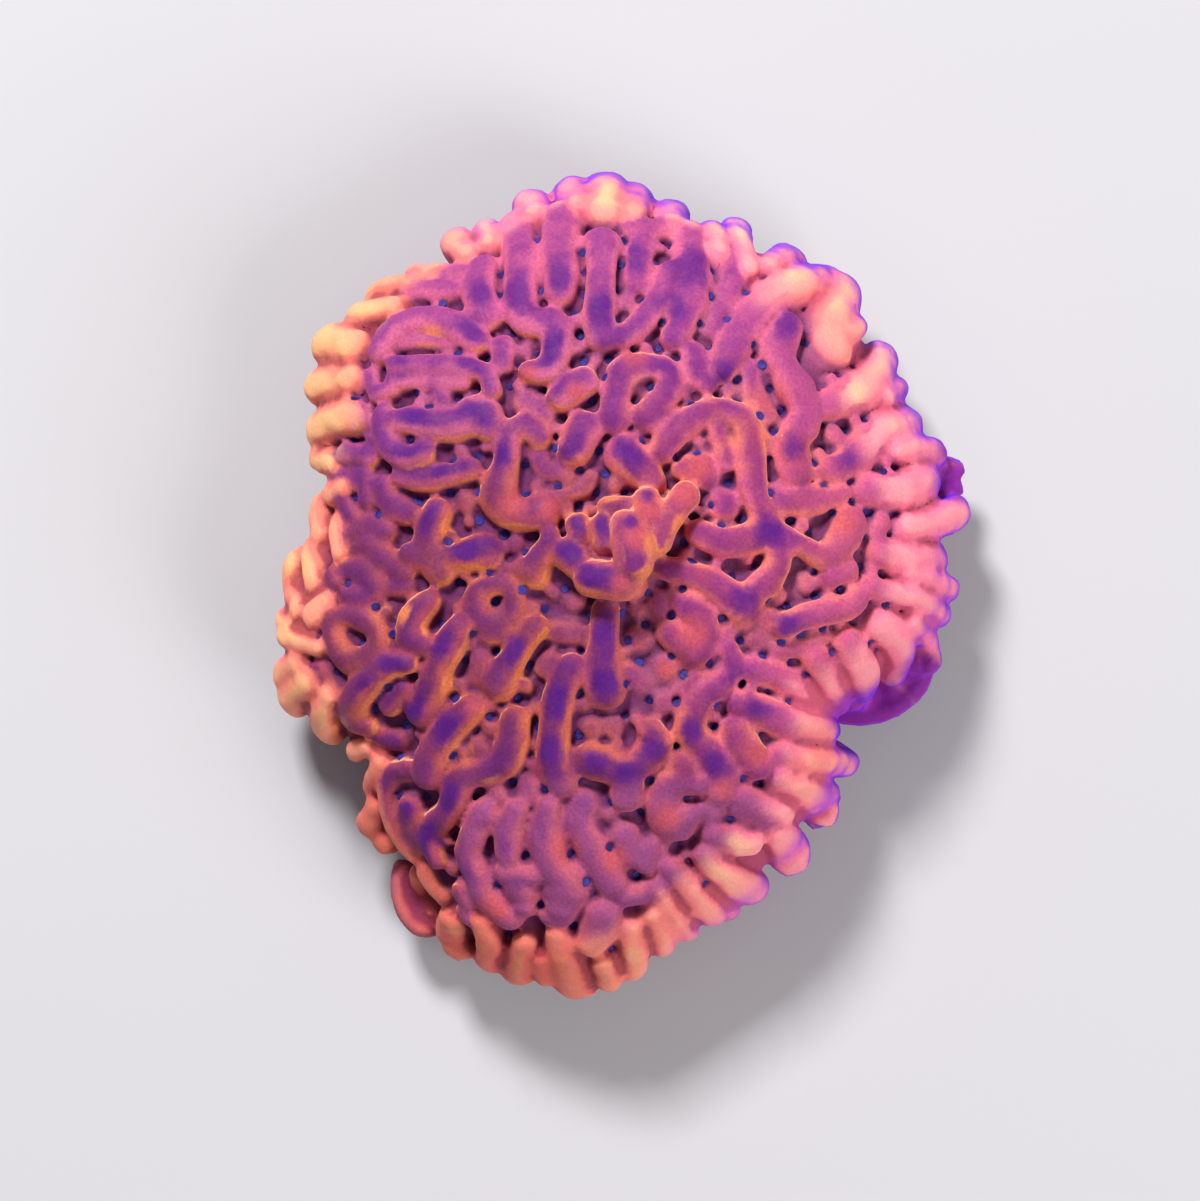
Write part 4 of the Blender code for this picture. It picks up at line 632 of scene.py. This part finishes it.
def keep_largest(bm):
    """Deletes every separate scrap of bm but the largest."""
    left = set(bm.verts)
    pieces = []
    while left:
        piece = {left.pop()}
        front = set(piece)
        while front:
            front = {edge.other_vert(vert) for vert in front for edge in vert.link_edges} & left
            left -= front
            piece |= front
        pieces.append(piece)
    pieces.sort(key=len)
    bmesh.ops.delete(bm, geom=[v for piece in pieces[:-1] for v in piece], context="VERTS")


def cut_flat(bm):
    """Cuts bm off at the floor and closes the cut."""
    geometry = bm.verts[:] + bm.edges[:] + bm.faces[:]
    cut = bmesh.ops.bisect_plane(bm, geom=geometry, dist=1e-7, plane_co=(0, 0, 0),
                                 plane_no=(0, 0, -1), clear_outer=True)
    rim = [item for item in cut["geom_cut"] if isinstance(item, bmesh.types.BMEdge)]
    closed = bmesh.ops.triangle_fill(bm, edges=rim, use_beauty=True, normal=(0, 0, -1))
    for face in closed["geom"]:
        if isinstance(face, bmesh.types.BMFace) and face.normal.z > 0:
            face.normal_flip()


def grown_skin():
    """The colony's bare skin as a fine mesh, and the spines of its ridges."""
    bm = bmesh.new()
    spines = [point for kind, *plan in RIDGES + floor_lumps() for point in add_ridge(bm, kind, plan)]
    add_dome(bm)
    mesh = bpy.data.meshes.new("overlapping")
    bm.to_mesh(mesh)
    bm.free()
    mesh = evaluated(
        mesh,
        ("REMESH", {"mode": "VOXEL", "voxel_size": GRAIN * MM}),
        ("SMOOTH", {"factor": 0.5, "iterations": SOFTEN_ROUNDS}),
        ("TRIANGULATE", {}),
    )
    share = SKIN_TRIANGLES / len(mesh.polygons)
    mesh = evaluated(mesh, ("DECIMATE", {"ratio": min(share, 1.0)}))
    bm = bmesh.new()
    bm.from_mesh(mesh)
    keep_largest(bm)
    cut_flat(bm)
    bm.normal_update()
    bm.to_mesh(mesh)
    bm.free()
    mesh.name = "coral_skin"
    return mesh, spines


def step(value, low, high):
    """0 below low, 1 above high and a smooth rise between, low above high for a fall."""
    share = np.clip((value - low) / (high - low), 0, 1)
    return share * share * (3 - 2 * share)


def points_of(mesh):
    """The mesh's points and normals, points in millimetres."""
    count = len(mesh.vertices)
    points = np.empty(count * 3, np.float32)
    normals = np.empty(count * 3, np.float32)
    mesh.vertices.foreach_get("co", points)
    mesh.vertex_normals.foreach_get("vector", normals)
    return points.reshape(-1, 3).astype(float) / MM, normals.reshape(-1, 3).astype(float)


def inset_of(points):
    """How far inside the colony's outer dome each point is: 0 at the tall ridges' tops."""
    x, y, z = points.T
    distance = np.hypot(x, y)
    edge = reach(x, y)
    # Halving finds the inset whose dome goes through each point
    low = np.full(len(points), -8.0)
    high = np.full(len(points), 9.0)
    for _ in range(24):
        middle = (low + high) / 2
        above = z > dome_z(distance, edge, middle)
        high = np.where(above, middle, high)
        low = np.where(above, low, middle)
    floor_edge = (edge - VALLEY_DEPTH) * flank_share(z)
    return np.where(z > GIRTH_Z, (low + high) / 2, VALLEY_DEPTH + floor_edge - distance)


def near_ridges(points, spines):
    """Each point's gap to the nearest ridge, its place across it and how much the ridges are lobes.

    The place across is a way aside from the ridge's centre line, about 1 long on its flanks.
    """
    tree = KDTree(len(spines))
    for i, (place, *_) in enumerate(spines):
        tree.insert(place, i)
    tree.balance()
    gaps = np.empty(len(points))
    across = np.empty((len(points), 3))
    lobes = np.empty(len(points))
    for i, point in enumerate(points):
        point = Vector(point)
        near = [(d - spines[k][1], k, spines[k][3]) for _, k, d in tree.find_n(point, 6)]
        gaps[i], nearest, _ = min(near)
        place, radius, out, _ = spines[nearest]
        aside = point - place
        across[i] = (aside - out * aside.dot(out)) / max(radius, 0.5)
        pulls = [math.exp((gaps[i] - gap) / 0.5) for gap, *_ in near]
        lobes[i] = sum(pull for pull, (_, _, lobe) in zip(pulls, near) if lobe) / sum(pulls)
    return gaps, across, lobes


def splats(points, places, spread=1.0):
    """1 at the middle of each place, about a third at its radius and less further out, in plan."""
    strength = np.zeros(len(points))
    for x, y, radius in places:
        dx = points[:, 0] - (x - PLAN_CENTRE[0])
        dy = points[:, 1] - (y - PLAN_CENTRE[1])
        strength = np.maximum(strength, np.exp(-(dx * dx + dy * dy) / (radius * spread)**2 * 1.2))
    return strength


def polyp_places(points, normals, inset, gaps, seed=7):
    """Polyps in the valleys, as close as they fit, most of them along the ridges' feet."""
    draw = random.Random(seed)
    outward = points / np.linalg.norm(points, axis=1)[:, None]
    open_sky = (normals * outward).sum(1)
    deep = (inset > 0.5 * VALLEY_DEPTH) & (gaps > 0.15) & (points[:, 2] > POLYP_LOWEST) & (open_sky > 0.5)
    deep &= reach(points[:, 0], points[:, 1]) - np.hypot(points[:, 0], points[:, 1]) > POLYP_MARGIN
    candidates = np.flatnonzero(deep)
    rank = np.array([draw.uniform(0, 0.6) for _ in candidates]) - abs(gaps[candidates] - POLYP_GAP)
    chosen = []
    for index in candidates[np.argsort(-rank)]:
        place = points[index]
        spacing = POLYP_SPACING * (1 + 0.45 * step(place[0] + place[1], 0.0, -16.0))
        if (np.linalg.norm(points[chosen] - place, axis=1) > spacing).all():
            chosen.append(index)
    return [(Vector(points[index]), Vector(normals[index])) for index in chosen]


def averaging(mesh):
    """A function that swaps each point's number for the mean of its neighbours'."""
    ends = np.empty(len(mesh.edges) * 2, np.int32)
    mesh.edges.foreach_get("vertices", ends)
    count = np.bincount(ends)
    first, second = ends.reshape(-1, 2).T

    def softened(values, rounds=1):
        for _ in range(rounds):
            total = np.bincount(first, values[second], len(values))
            values = (total + np.bincount(second, values[first], len(values))) / count
        return values

    return softened


def hollows(points, normals, softened):
    """How far each point lies under the skin around it, in millimetres, and below 0 on a bulge."""
    soft = np.array([softened(axis, HOLLOW_ROUNDS) for axis in points.T])
    return softened(((soft.T - points) * normals).sum(1), 2)


def shape_skin(mesh, lobes, polyps):
    """Fills the creases between lobes, raises the skin's unevenness and sinks a pit for each polyp.

    Returns how deep in a pit each point is.
    """
    points, normals = points_of(mesh)
    fills = FILL * lobes * (0.35 + 0.65 * step(points[:, 1], -14.0, 2.0))
    fills *= step(hollows(points, normals, averaging(mesh)), 0.0, 0.35)
    tree = KDTree(len(polyps))
    for i, (place, _) in enumerate(polyps):
        tree.insert(place, i)
    tree.balance()
    pits = np.zeros(len(points))
    for i, point in enumerate(points):
        place = Vector(point)
        if place.z < CUT_EDGE:
            continue
        fade = min(place.z / CUT_FADE, 1.0)
        rise = fills[i] + noise.noise(place / SWELL_STEP) * SWELL
        rise += noise.noise(place / GRIT_STEP) * GRIT
        _, _, distance = tree.find(place)
        pits[i] = max(1 - (distance / PIT_RADIUS) ** 2, 0) ** 2
        rise -= pits[i] * PIT_DEPTH
        points[i] += normals[i] * rise * fade
    mesh.vertices.foreach_set("co", (points * MM).astype(np.float32).ravel())
    mesh.update()
    return pits


def set_fields(mesh, **fields):
    """Stores each field's number for each of the mesh's points, for its material to read."""
    for name, values in fields.items():
        field = mesh.attributes.new(name, "FLOAT", "POINT")
        field.data.foreach_set("value", np.clip(values, 0, 1).astype(np.float32))


def tissue_fields(mesh, across, lobes, pits):
    """Where each of the tissue's colours and each painted light and shade shows, as one number for each
    point and colour.
    """
    points, normals = points_of(mesh)
    x, y, z = points.T
    distance = np.hypot(x, y)
    edge = reach(x, y)
    depth = inset_of(points) / VALLEY_DEPTH
    softened = averaging(mesh)
    hollow = hollows(points, normals, softened)
    slope = step(distance / edge, 0.55, 1.0)
    outward = np.stack([x / edge * slope * 1.6, y / edge * slope * 1.6, np.ones(len(x)) * 0.9], 1)
    outward /= np.linalg.norm(outward, axis=1)[:, None]
    tilt = (normals * outward).sum(1)
    away = np.stack([x - PALE_SIDES_FROM[0], y - PALE_SIDES_FROM[1], np.zeros(len(x))], 1)
    away /= np.linalg.norm(away, axis=1)[:, None] + 1e-6
    facing = (normals * away).sum(1)
    west = step(x, 4.0, -8.0)
    off_line = np.linalg.norm(across - away * (0.4 * west)[:, None], axis=1)
    crest = step(off_line, 1.2, 0.45) * step(tilt, 0.3, 0.85) * step(depth, 0.85, 0.45)
    crest = softened(crest, CREST_ROUNDS)
    margin = edge - distance
    rim = np.maximum(step(margin, 11.0, 3.5) * lobes, step(margin, 3.5, 1.0))
    right = step(x + 0.35 * y, -16.0, 14.0)
    north_east = step(x + y, -22.0, 18.0)
    bulge = step(-hollow, 0.02, 0.3)
    north = step(y - 0.3 * x, 10.0, 26.0)
    south = step(y, -17.5, -21.5) * step(x, -17.5, -14.5)
    # the painted edge highlight is strongest on the sides that face away from that point
    sides = 0.25 + 0.75 * step(facing, -0.1, 0.6)
    # Painted orange light on the western ridges' sides that face towards that point; the listed gold
    # patches join it
    shade_side = step(facing, 0.0, -0.5) * west * step(tilt, 1.0, 0.72) * step(depth, 0.9, 0.5)
    gold = np.maximum(splats(points, GOLD) * step(tilt, 1.0, 0.8), 0.7 * shade_side)
    violet = step(crest, 0.0, 0.85) * np.maximum(0.08 + 0.3 * north, splats(points, VIOLET, 1.1))
    pale = np.maximum(step(x, -14.0, -24.0), step(y, 18.0, 28.0))
    cream = np.maximum(splats(points, CREAM), 0.25 * step(margin, 4.0, 1.5) * pale)
    cream *= 1 - 0.35 * np.maximum(step(y, -4.0, -14.0), step(x, 8.0, 20.0))
    # Painted shade: darker colour in the hollows and creases, strongest between the margin's lobes
    crease = softened(step(hollow, 0.02 - 0.04 * rim, 0.3 - 0.21 * rim), 2)
    up = normals[:, 2]
    # Painted glow: violet-blue light on the margin's steep outer sides, most in the east
    fringe = step(margin, 3.5, 1.0) * step(up, 0.7, 0.15) * step(up, -0.5, 0.0)
    set_fields(
        mesh,
        crest=crest,
        tilt=tilt,
        rim=rim,
        bulge=bulge,
        south=south,
        north=0.7 * north,
        # painted light: 1 to the east, where the tissue colours take their lit copies, 0 where they take
        # their shaded copies
        bright=step(x + 0.3 * y, -13.0, 14.0),
        # partly the valley floors' own mauve, partly painted shade: darker the deeper a point lies
        deep=step(depth, 0.3, 0.95),
        crease=crease * (1 + rim * (0.8 - 0.7 * step(y, -4.0, 12.0))),
        # painted light: tissue lighter and pinker within 20 mm of the margin, most in the north-east
        fresh=step(margin, 20.0, 6.0) * (0.25 + 0.75 * north_east),
        warm=np.maximum(1 - right, 0.7 * splats(points, PEACH)),
        edge_line=sides * step(depth, 0.75, 0.4) * (1 - 0.8 * rim) * (1 - 0.6 * south),
        gold=gold * (1 - 0.85 * south),
        rose=splats(points, ROSE) * (1 - rim),
        violet=violet * (1 - 0.85 * rim) * (1 - 0.55 * south),
        cream=cream * (0.35 + 0.65 * bulge) * step(tilt, 0.2, 0.85),
        lip=splats(points, LIP) * step(margin, 4.2, 2.8),
        # painted shade: darker red over the south-west, most on the rim
        dusk=step(y, -12.0, -22.0) * step(x, 14.0, -10.0) * (0.4 + 0.6 * rim),
        fringe=fringe * (0.12 + 0.88 * right),
        # painted shade: darker purple below the girth and where the skin faces down
        under=np.maximum(step(z, GIRTH_Z + 0.5, GIRTH_Z - 3.5), step(up, 0.0, -0.4)),
        # painted shade: dark ring in the pit round each polyp
        pit=pits,
    )


def linear(code):
    """A colour such as "#a04a80" as linear red, green, blue and alpha."""
    parts = [int(code[i:i + 2], 16) / 255 for i in (1, 3, 5)]
    return tuple(c / 12.92 if c <= 0.04045 else ((c + 0.055) / 1.055) ** 2.4 for c in parts) + (1.0,)


class Finish:
    """A material's nodes, made one line at a time."""

    MIX_COLOURS = (6, 7)    # numbers of a mix node's two colour inputs
    MIX_RESULT = 2          # and of its colour output

    def __init__(self, name):
        self.material = bpy.data.materials.new(name)
        self.material.use_nodes = True
        self.tree = self.material.node_tree
        self.shader = self.tree.nodes["Principled BSDF"]
        self.place = self.tree.nodes.new("ShaderNodeTexCoord").outputs["Object"]

    def put(self, node, inputs):
        """Sets the node's inputs, given by name or number, to constants, or links them."""
        for name, value in inputs.items():
            if isinstance(value, bpy.types.NodeSocket):
                self.tree.links.new(value, node.inputs[name])
            else:
                node.inputs[name].default_value = value

    def set_shader(self, inputs):
        """Sets or links the shader's inputs."""
        self.put(self.shader, inputs)

    def add(self, kind, inputs, **settings):
        """Adds a node and returns its outputs."""
        node = self.tree.nodes.new("ShaderNode" + kind)
        for name, value in settings.items():
            setattr(node, name, value)
        self.put(node, inputs)
        return node.outputs

    def field(self, name):
        """One of the mesh's stored fields."""
        return self.add("Attribute", {}, attribute_name=name)["Fac"]

    def noise(self, size, detail=3.0, roughness=0.55):
        """Soft noise whose features are about size millimetres."""
        inputs = {"Vector": self.place, "Scale": 1 / (size * MM), "Detail": detail, "Roughness": roughness}
        return self.add("TexNoise", inputs)["Fac"]

    def cells(self, size):
        """Distance to the nearest of points about size millimetres apart, in steps of that size."""
        return self.add("TexVoronoi", {"Vector": self.place, "Scale": 1 / (size * MM)})["Distance"]

    def math(self, operation, *values):
        """values put together by a maths operation."""
        return self.add("Math", dict(enumerate(values)), operation=operation)[0]

    def spread(self, value, low, high, start=0.0, end=1.0):
        """value from low to high as a smooth rise from start to end."""
        inputs = {"Value": value, "From Min": low, "From Max": high, "To Min": start, "To Max": end}
        return self.add("MapRange", inputs, interpolation_type="SMOOTHSTEP")["Result"]

    def mix(self, share, *colours, blend="MIX"):
        """The first of two colours with the second over it by share; colours may be codes."""
        inputs = {"Factor": share}
        for number, colour in zip(self.MIX_COLOURS, colours):
            inputs[number] = linear(colour) if isinstance(colour, str) else colour
        return self.add("Mix", inputs, data_type="RGBA", blend_type=blend)[self.MIX_RESULT]

    def raise_by(self, height, strength, distance):
        """Bump on the shader, distance in millimetres."""
        inputs = {"Strength": strength, "Distance": distance * MM, "Height": height}
        self.set_shader({"Normal": self.add("Bump", inputs)["Normal"]})


def tissue_material():
    """Living tissue: mauve ridges with violet crests and salmon edges, and a pink and cream margin, with
    painted light and shade over them.
    """
    finish = Finish("coral_tissue")
    broad = finish.noise(6.0, 2.0)
    patchy = finish.noise(2.2, 4.0, 0.65)
    fine = finish.noise(0.3, 3.0, 0.6)
    drift = finish.math("SUBTRACT", patchy, 0.5)

    def shown(name, low, high, wander, most=1.0):
        """One field's cover, its border moved about by the patchy noise."""
        value = finish.math("MULTIPLY_ADD", drift, wander, finish.field(name))
        return finish.spread(value, low, high, 0.0, most)

    def layered(colour, *layers):
        """colour under layers, each given as its cover's field and numbers and its own colour."""
        for *cover, paint in layers:
            colour = finish.mix(shown(*cover), colour, paint)
        return colour

    dark_side = finish.spread(broad, 0.35, 0.65)
    # Painted light and shade: lit copies of the flank, top, valley and crease colours to the east, shaded
    # copies to the west
    lit = finish.field("bright")
    north = finish.field("north")
    warm = finish.field("warm")
    rim = finish.field("rim")
    flank = finish.mix(lit, finish.mix(dark_side, "#ae4a5e", "#ca6450"),
                       finish.mix(dark_side, "#ec7290", "#ff8e74"))
    flank = finish.mix(north, flank, "#dc749e")
    flank = layered(flank, ("south", 0.0, 1.0, 0.3, "#c25e74"))
    top = finish.mix(lit, finish.mix(dark_side, "#66266a", "#7c325a"),
                     finish.mix(dark_side, "#8a3278", "#a8446a"))
    top = finish.mix(north, top, "#7c2e88")
    top = layered(top, ("south", 0.0, 1.0, 0.3, "#984a80"))
    plump = finish.mix(warm, "#ffa8a8", "#ffae8c")
    pink = layered(finish.mix(warm, "#ff86a0", "#f48474"), ("bulge", 0.2, 1.0, 0.6, 0.6, plump))
    # painted shade in the creases, with lit and shaded copies
    crease = finish.mix(rim, "#64285c", finish.mix(lit, "#8a2c40", "#bc4868"))
    colour = layered(
        flank,
        ("crest", -0.1, 1.0, 0.8, top),
        # painted light near the margin
        ("fresh", 0.1, 1.0, 0.3, 0.5, "#dc6494"),
        ("rim", 0.2, 0.95, 0.5, pink),
        ("rose", 0.1, 1.0, 0.5, 0.75, "#cc585c"),
        ("violet", 0.05, 1.0, 1.0, 0.76, "#480e7e"),
        # the listed gold patches, and painted orange light on the western ridges' sides
        ("gold", 0.2, 0.95, 0.8, 0.8, "#f48e50"),
        ("cream", 0.05, 0.8, 0.3, 0.75, finish.mix(warm, "#ffcca4", "#ffc688")),
        ("dusk", 0.3, 1.2, 0.4, 0.65, "#c24444"),
        # the valley floors' mauve, darkened as painted shade in the deep valleys, with lit and shaded
        # copies
        ("deep", 0.15, 1.0, 0.2, 0.8, finish.mix(lit, "#6c3464", "#945280")),
        ("crease", 0.1, 1.0, 0.2, 0.75, crease),
    )
    # Painted highlight: a thin pale line along the ridges' steep edges, as light catches velvety tissue
    tilt = finish.math("MULTIPLY_ADD", drift, 0.2, finish.field("tilt"))
    band = finish.math("MULTIPLY", finish.spread(tilt, 0.08, 0.2), finish.spread(tilt, 0.48, 0.3))
    line = finish.math("MULTIPLY", band, shown("edge_line", 0.15, 1.0, 1.4, 0.92))
    colour = layered(
        finish.mix(line, colour, finish.mix(north, "#ffb894", "#ffa8ac")),
        # painted shade on the underside
        ("under", 0.2, 0.9, 0.4, 0.75, "#7a2c70"),
        # painted blue-lit shade under the shelves
        ("lip", 0.1, 0.7, 0.4, 0.95, "#86209c"),
        # painted violet-blue glow on the margin's outer sides
        ("fringe", 0.0, 0.7, 0.2, 0.6, "#b444c8"),
        ("fringe", 0.45, 1.05, 0.3, 0.8, "#5a1ce0"),
        # painted shade in the pits round the polyps
        ("pit", 0.1, 0.8, 0.0, 0.75, "#361a68"),
    )
    speck = finish.mix(rim, "#e6dae0", "#f8eef0")
    speckle = finish.mix(finish.spread(fine, 0.3, 0.7), speck, "#ffffff")
    finish.set_shader({
        "Base Color": finish.mix(1.0, colour, speckle, blend="MULTIPLY"),
        "Roughness": finish.spread(patchy, 0.3, 0.7, 0.58, 0.72),
        "Subsurface Weight": 0.12,
        "Subsurface Radius": (1.0, 0.4, 0.5),
        "Subsurface Scale": 0.6 * MM,
        "Specular IOR Level": 0.12,
        "Sheen Weight": 0.03,
        "Sheen Roughness": 0.35,
        "Sheen Tint": linear("#ffb494"),
    })
    finish.raise_by(fine, 0.45, 0.1)
    return finish.material


def skeleton_material():
    """The bare cut: chalky cream skeleton, full of fine pores."""
    finish = Finish("cut_skeleton")
    # Painted shade: the pores' holes are dark brown
    pores = finish.spread(finish.cells(0.9), 0.12, 0.42)
    stain = finish.spread(finish.noise(7.0, 4.0), 0.35, 0.7)
    colour = finish.mix(pores, "#6f5f4e", finish.mix(stain, "#e9dcc4", "#c9b494"))
    finish.set_shader({"Base Color": colour, "Roughness": 0.9})
    finish.raise_by(pores, 0.8, 0.3)
    return finish.material


def polyp_material():
    """Polyps: indigo, with a paler blue mouth and rim, and painted shade at the foot and the mouth's
    middle.
    """
    finish = Finish("coral_polyp")
    tone = finish.spread(finish.noise(2.2, 1.0), 0.35, 0.7)
    nubs = finish.spread(finish.field("rise"), 0.55, 1.0, 0.0, 0.5)
    colour = finish.mix(nubs, finish.mix(tone, "#2c1658", "#403894"), "#5a3ac8")
    # Painted shade: the foot, sunk in the pit, and the mouth's middle are darker
    colour = finish.mix(finish.spread(finish.field("foot"), 0.2, 0.9), colour, "#2a1048")
    finish.set_shader({"Base Color": colour, "Roughness": 0.6, "Specular IOR Level": 0.2})
    return finish.material


def add_polyp(points, faces, rises, feet, place, normal, radius, spin):
    """One polyp: a low dome with a ring of small tentacles and a mouth in the middle."""
    sides = TENTACLES * 2
    side = normal.orthogonal().normalized()
    other = normal.cross(side)
    start = len(points)
    for share, height, nub, foot in POLYP_RINGS:
        for i in range(sides):
            turn = math.tau * i / sides + spin
            lobe = (1 if i % 2 == 0 else -1) * nub
            out = radius * (share + 0.09 * lobe)
            up = radius * (height + 0.1 * lobe)
            points.append(place + side * math.cos(turn) * out + other * math.sin(turn) * out
                          + normal * up)
            rises.append(max(lobe, 0.0))
            feet.append(foot)
    points.append(place + normal * radius * 0.08)
    rises.append(0.0)
    feet.append(0.6)
    last = start + (len(POLYP_RINGS) - 1) * sides
    for a in range(start, last, sides):
        for i in range(sides):
            j = (i + 1) % sides
            faces.append((a + i, a + j, a + sides + j, a + sides + i))
    for i in range(sides):
        faces.append((last + i, last + (i + 1) % sides, last + sides))
    faces.append(tuple(start + i for i in reversed(range(sides))))


def polyp_piece(polyps, seed=11):
    """All the polyps as one mesh."""
    draw = random.Random(seed)
    points, faces, rises, feet = [], [], [], []
    for place, normal in polyps:
        radius = POLYP_RADIUS * draw.uniform(0.75, 1.15)
        sunk = place - normal * PIT_DEPTH * 0.6
        add_polyp(points, faces, rises, feet, sunk, normal, radius, draw.uniform(0, 1))
    mesh = bpy.data.meshes.new("polyps")
    mesh.from_pydata([p * MM for p in points], [], faces)
    set_fields(mesh, rise=np.array(rises), foot=np.array(feet))
    mesh.shade_smooth()
    mesh.materials.append(polyp_material())
    return placed("polyps", mesh)


def skin_piece(mesh):
    """The skin's object: tissue all over, bare skeleton on the cut."""
    mesh.materials.clear()
    mesh.materials.append(tissue_material())
    mesh.materials.append(skeleton_material())
    mesh.shade_smooth()
    on_cut = [face.normal.z < -0.99 and face.center.z < 0.02 * MM for face in mesh.polygons]
    mesh.polygons.foreach_set("material_index", np.array(on_cut, np.int32))
    mesh.polygons.foreach_set("use_smooth", ~np.array(on_cut))
    return placed("coral_skin", mesh)


def add_floor():
    """A plain pale floor under the cut."""
    mesh = bpy.data.meshes.new("floor")
    corners = [(x * FLOOR_HALF, y * FLOOR_HALF, 0) for x, y in ((-1, -1), (1, -1), (1, 1), (-1, 1))]
    mesh.from_pydata(corners, [], [(0, 1, 2, 3)])
    finish = Finish("pale_floor")
    finish.set_shader({"Base Color": linear("#c5c3c7"), "Roughness": 0.8})
    mesh.materials.append(finish.material)
    placed("floor", mesh)


def add_light(name, place, size, watts):
    """A square soft light that faces the colony."""
    lamp = bpy.data.lights.new(name, "AREA")
    lamp.size = size
    lamp.energy = watts
    light = placed(name, lamp)
    light.location = place
    light.rotation_euler = (-Vector(place)).to_track_quat("-Z", "Y").to_euler()


def add_sky():
    """Even pale light from all round."""
    world = bpy.data.worlds.new("studio")
    world.use_nodes = True
    background = world.node_tree.nodes["Background"]
    background.inputs["Color"].default_value = (1, 1, 1, 1)
    background.inputs["Strength"].default_value = SKY_STRENGTH
    bpy.context.scene.world = world


def add_camera():
    """Straight above the colony, a little to one side of its middle."""
    lens = bpy.data.cameras.new("camera")
    lens.lens = CAMERA_LENS
    lens.sensor_width = CAMERA_SENSOR
    camera = placed("camera", lens)
    focus_z = (cad_box[0][2] + cad_box[1][2]) * 0.4
    camera.location = (-PLAN_CENTRE[0] * MM, -PLAN_CENTRE[1] * MM, focus_z + CAMERA_AWAY)
    bpy.context.scene.camera = camera


add_camera()
add_floor()
add_light(*KEY_LIGHT)
add_light(*FILL_LIGHT)
add_sky()
bpy.context.scene.view_settings.view_transform = "Standard"

skin_mesh, ridge_spines = grown_skin()
bare_points, bare_normals = points_of(skin_mesh)
ridge_gaps, ridge_across, lobe_shares = near_ridges(bare_points, ridge_spines)
polyp_list = polyp_places(bare_points, bare_normals, inset_of(bare_points), ridge_gaps)
pit_shares = shape_skin(skin_mesh, lobe_shares, polyp_list)
tissue_fields(skin_mesh, ridge_across, lobe_shares, pit_shares)
coral_skin = skin_piece(skin_mesh)
polyp_cluster = polyp_piece(polyp_list)

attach(coral_skin, "root")
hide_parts("coral_colony")
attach(polyp_cluster, "root")
